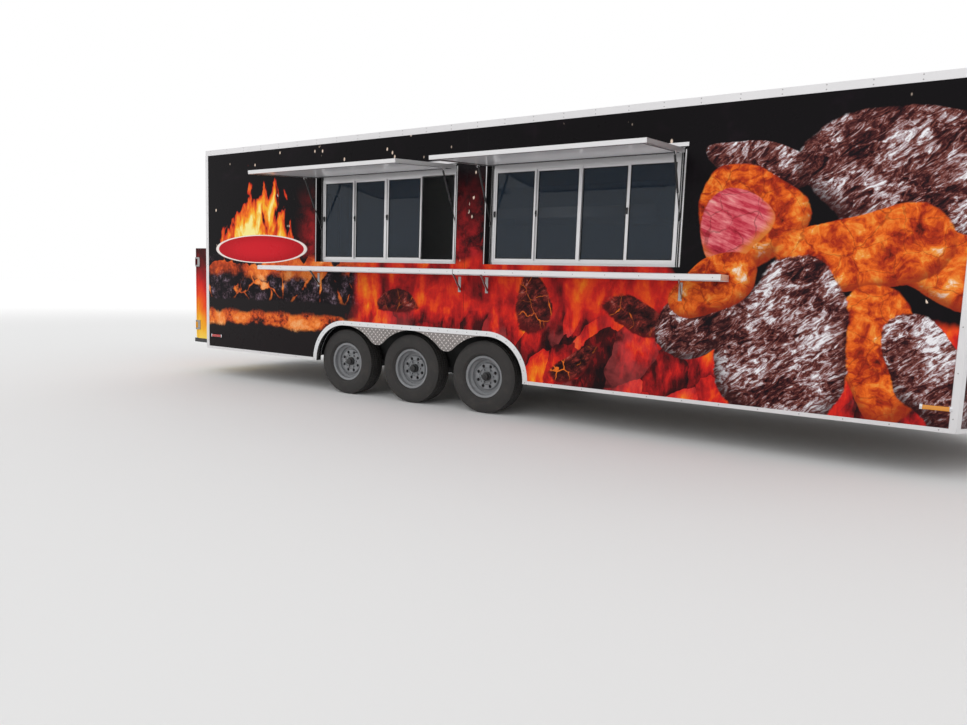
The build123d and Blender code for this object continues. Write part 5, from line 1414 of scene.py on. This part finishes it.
@dataclass
class Studio:
    """The pale floor, the soft lamps and the camera.

    A lamp has a name, the direction that it shines from, its strength and its width in degrees.
    """

    place: tuple[float, float, float] = (-2.121, -6.9955, 0.78)
    yaw: float = 31.16
    pitch: float = 6.25
    roll: float = -1.99
    focus: float = 693.0
    frame_width: float = 967.0
    sensor_width: float = 36.0
    floor_half: float = 90.0
    floor_middle_x: float = -5.0
    floor_fade: tuple[float, float] = (13.0, 27.0)
    view_reach: float = 300.0
    floor_tone: Colour = (0.84, 0.84, 0.84)
    lamps: tuple[tuple[str, tuple[float, float, float], float, float], ...] = (
        ("key", (-0.45, -0.75, 0.42), 1.6, 100.0),
        ("fill", (0.75, -0.5, 0.34), 0.8, 100.0),
        ("back", (-0.6, 0.7, 0.38), 1.2, 100.0),
        ("front", (0.8, 0.45, 0.34), 0.75, 100.0),
    )

    def build_floor(self) -> None:
        """Lay the floor at the tyres' lowest point."""
        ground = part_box("tyre_right_1")[0].z
        mesh = bmesh.new()
        bmesh.ops.create_grid(mesh, x_segments=1, y_segments=1, size=self.floor_half)
        bmesh.ops.translate(mesh, vec=(self.floor_middle_x, 0.0, ground - 0.0005), verts=mesh.verts)
        data = bpy.data.meshes.new("floor_sheet")
        mesh.to_mesh(data)
        mesh.free()
        tree = Tree("floor_pale")
        cloud = tree.noise(tree.place(), 0.4, 3.0)
        x, y, _ = tree.axes(tree.place(shift=(-self.floor_middle_x, 0.0, 0.0)))
        far = ((x * x + y * y) ** 0.5).step(*self.floor_fade)
        seen = tree.add("ShaderNodeLightPath", {}, {}, BEHIND_RAYS[0])
        for ray in BEHIND_RAYS[1:]:
            seen = seen.most(tree.add("ShaderNodeLightPath", {}, {}, ray))
        pale = tree.mix(cloud, self.floor_tone, shade(self.floor_tone, 0.985))
        data.materials.append(tree.set(Base_Color=tree.mix(far * seen, pale, BLACK), Roughness=0.9,
                                       Specular_IOR_Level=0.1, Emission_Strength=1.0,
                                       Emission_Color=tree.mix(far * seen, BLACK, WHITE)))
        sheet = bpy.data.objects.new("floor_sheet", data)
        bpy.context.scene.collection.objects.link(sheet)

    def build_world(self, strength: float = 0.36) -> None:
        """Light the scene from all round, with white behind it.

        Args:
            strength: The light that the surroundings give to the object.
        """
        world = bpy.data.worlds.new("studio")
        world.use_nodes = True
        nodes, links = world.node_tree.nodes, world.node_tree.links
        nodes.clear()
        mix, out = nodes.new("ShaderNodeMixShader"), nodes.new("ShaderNodeOutputWorld")
        for socket, light in ((1, strength), (2, 1.0)):
            glow = nodes.new("ShaderNodeBackground")
            glow.inputs[0].default_value = (*WHITE, 1.0)
            glow.inputs[1].default_value = light
            links.new(glow.outputs[0], mix.inputs[socket])
        path = nodes.new("ShaderNodeLightPath")
        seen = path.outputs[BEHIND_RAYS[0]]
        for ray in BEHIND_RAYS[1:]:
            either = nodes.new("ShaderNodeMath")
            either.operation = "MAXIMUM"
            links.new(seen, either.inputs[0])
            links.new(path.outputs[ray], either.inputs[1])
            seen = either.outputs[0]
        links.new(seen, mix.inputs[0])
        links.new(mix.outputs[0], out.inputs[0])
        bpy.context.scene.world = world

    def build_lamps(self) -> None:
        """Set the broad soft lamps, each shining from its own direction."""
        for name, source, power, width in self.lamps:
            lamp = bpy.data.lights.new(name, "SUN")
            lamp.energy = power
            lamp.angle = math.radians(width)
            holder = bpy.data.objects.new(name, lamp)
            holder.visible_glossy = False
            holder.rotation_euler = (-Vector(source)).to_track_quat("-Z", "Y").to_euler()
            bpy.context.scene.collection.objects.link(holder)

    def build_camera(self) -> None:
        """Set the camera where the photograph was taken from."""
        yaw, pitch, roll = (math.radians(v) for v in (self.yaw, self.pitch, self.roll))
        level_share = math.cos(pitch)
        ahead = Vector((-math.sin(yaw) * level_share, math.cos(yaw) * level_share, -math.sin(pitch)))
        level = Vector((math.cos(yaw), math.sin(yaw), 0.0))
        under = ahead.cross(level)
        right = level * math.cos(roll) + under * math.sin(roll)
        down = under * math.cos(roll) - level * math.sin(roll)
        lens = bpy.data.cameras.new("view")
        lens.sensor_fit = "HORIZONTAL"
        lens.sensor_width = self.sensor_width
        lens.lens = self.focus / self.frame_width * self.sensor_width
        lens.clip_end = self.view_reach
        camera = bpy.data.objects.new("view", lens)
        turn = Matrix((right, -down, -ahead)).transposed().to_4x4()
        camera.matrix_world = Matrix.Translation(self.place) @ turn
        bpy.context.scene.collection.objects.link(camera)
        bpy.context.scene.camera = camera

    def build(self) -> None:
        """Build the whole studio."""
        self.build_floor()
        self.build_world()
        self.build_lamps()
        self.build_camera()
        bpy.context.scene.view_settings.view_transform = "Standard"


def finishes() -> dict[str, Material]:
    """Make every finish of the trailer.

    Returns:
        A material for each slot, and for each node that has one of its own.
    """
    wall_low, wall_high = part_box("wall_right")
    cabinet_low, cabinet_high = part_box("utility_cabinet")
    flames = FlamePanel("cabinet_film", cabinet_low.z, cabinet_high.z)
    # The wheel boxes get near-black paint as painted shade: it stands for the deep shade inside the wheel
    # arches.
    arch_shade_paint = Paint("arch_shade_paint", (0.011, 0.011, 0.011), 0.75, 0.0, 0.02)
    table = {
        "wrap": EmberFilm("wrap", wall_low.x, wall_high.x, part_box("wall_nose")[1].x, -wall_low.y,
                          NOSE_TIP_HALF, FILM_SEAM_X),
        "utility_cabinet": flames,
        "cabinet_door": flames,
        "wheel_boxes": arch_shade_paint,
        "white_sheet": Paint("white_sheet", (0.8, 0.81, 0.82), 0.55, 0.03),
        "bright_aluminium": Metal("bright_aluminium", (0.78, 0.77, 0.78), 0.34, metallic=0.75),
        "polished_aluminium": Metal("polished_aluminium", (0.8, 0.8, 0.81), 0.16, stain=0.06),
        "tread_plate": TreadPlate("tread_plate", (0.8, 0.76, 0.73), (0.2, 0.18, 0.175)),
        "frame_paint": Paint("frame_paint", (0.02, 0.02, 0.022), 0.42, 0.1, 0.03),
        "axle_paint": Paint("axle_paint", (0.06, 0.06, 0.064), 0.5, 0.0, 0.04),
        "zinc": Metal("zinc", (0.44, 0.43, 0.43), 0.4, (90.0, 90.0, 90.0), 0.2),
        "rubber_tyre": Rubber("rubber_tyre", (0.026, 0.024, 0.023), (0.085, 0.074, 0.066), 0.36),
        "wheel_grey": Paint("wheel_grey", (0.21, 0.215, 0.225), 0.38, 0.2, 0.06),
        "plywood": Plywood("plywood"),
        "dark_glass": Glass("dark_glass"),
        "hatch_paint": Paint("hatch_paint", (0.82, 0.84, 0.87), 0.15, 0.5),
        "strut_black": Paint("strut_black", (0.016, 0.016, 0.017), 0.3, 0.3, 0.02),
        "rod_chrome": Metal("rod_chrome", (0.8, 0.8, 0.82), 0.1, stain=0.03),
        "amber_lens": Lens("amber_lens", (0.95, 0.36, 0.03)),
        "red_lens": Lens("red_lens", (0.62, 0.02, 0.02)),
        "blank_plate": Paint("blank_plate", (0.8, 0.81, 0.81), 0.35, 0.2),
        "stainless": Metal("stainless", (0.6, 0.61, 0.62), 0.3, (6.0, 220.0, 220.0)),
    }
    for bay in ("rear", "front"):
        low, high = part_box(f"window_frame_{bay}")
        half = (high.x - low.x) / 2 - SASH_INSET
        table[f"window_frame_{bay}"] = FramedWindow(f"window_frame_{bay}", (low.x + high.x) / 2, half)
        table[f"strut_rods_{bay}"] = table["strut_black"]
    made = {slot: finish.material() for slot, finish in table.items()}
    log.info("%d finishes", len(made))
    return made


def main() -> None:
    """Build the trailer's looks, piece by piece."""
    logging.basicConfig(level=logging.INFO, format="%(message)s")
    shop = Workshop(finishes())
    hatches = [ServingHatch(shop, bay) for bay in ("rear", "front")]
    for hatch in hatches:
        shop.finishes[f"hatch_panel_{hatch.bay}"] = hatch.finish().material()
    shop.dress_nodes()
    for side in Side:
        for number in (1, 2, 3):
            wheel = RoadWheel(shop, side, number)
            wheel.build_tyre()
            wheel.build_trim()
        Arch(shop, side).build()
    for hatch in hatches:
        hatch.build()
        ServingWindow(shop, hatch.bay).build()
        Counter(shop, hatch.bay).build()
    TrimScrews(shop).build()
    Lamps(shop).build()
    RearFittings(shop).build()
    Running(shop).build()
    Hitch(shop).build()
    Studio().build()


if __name__ == "__main__":
    main()
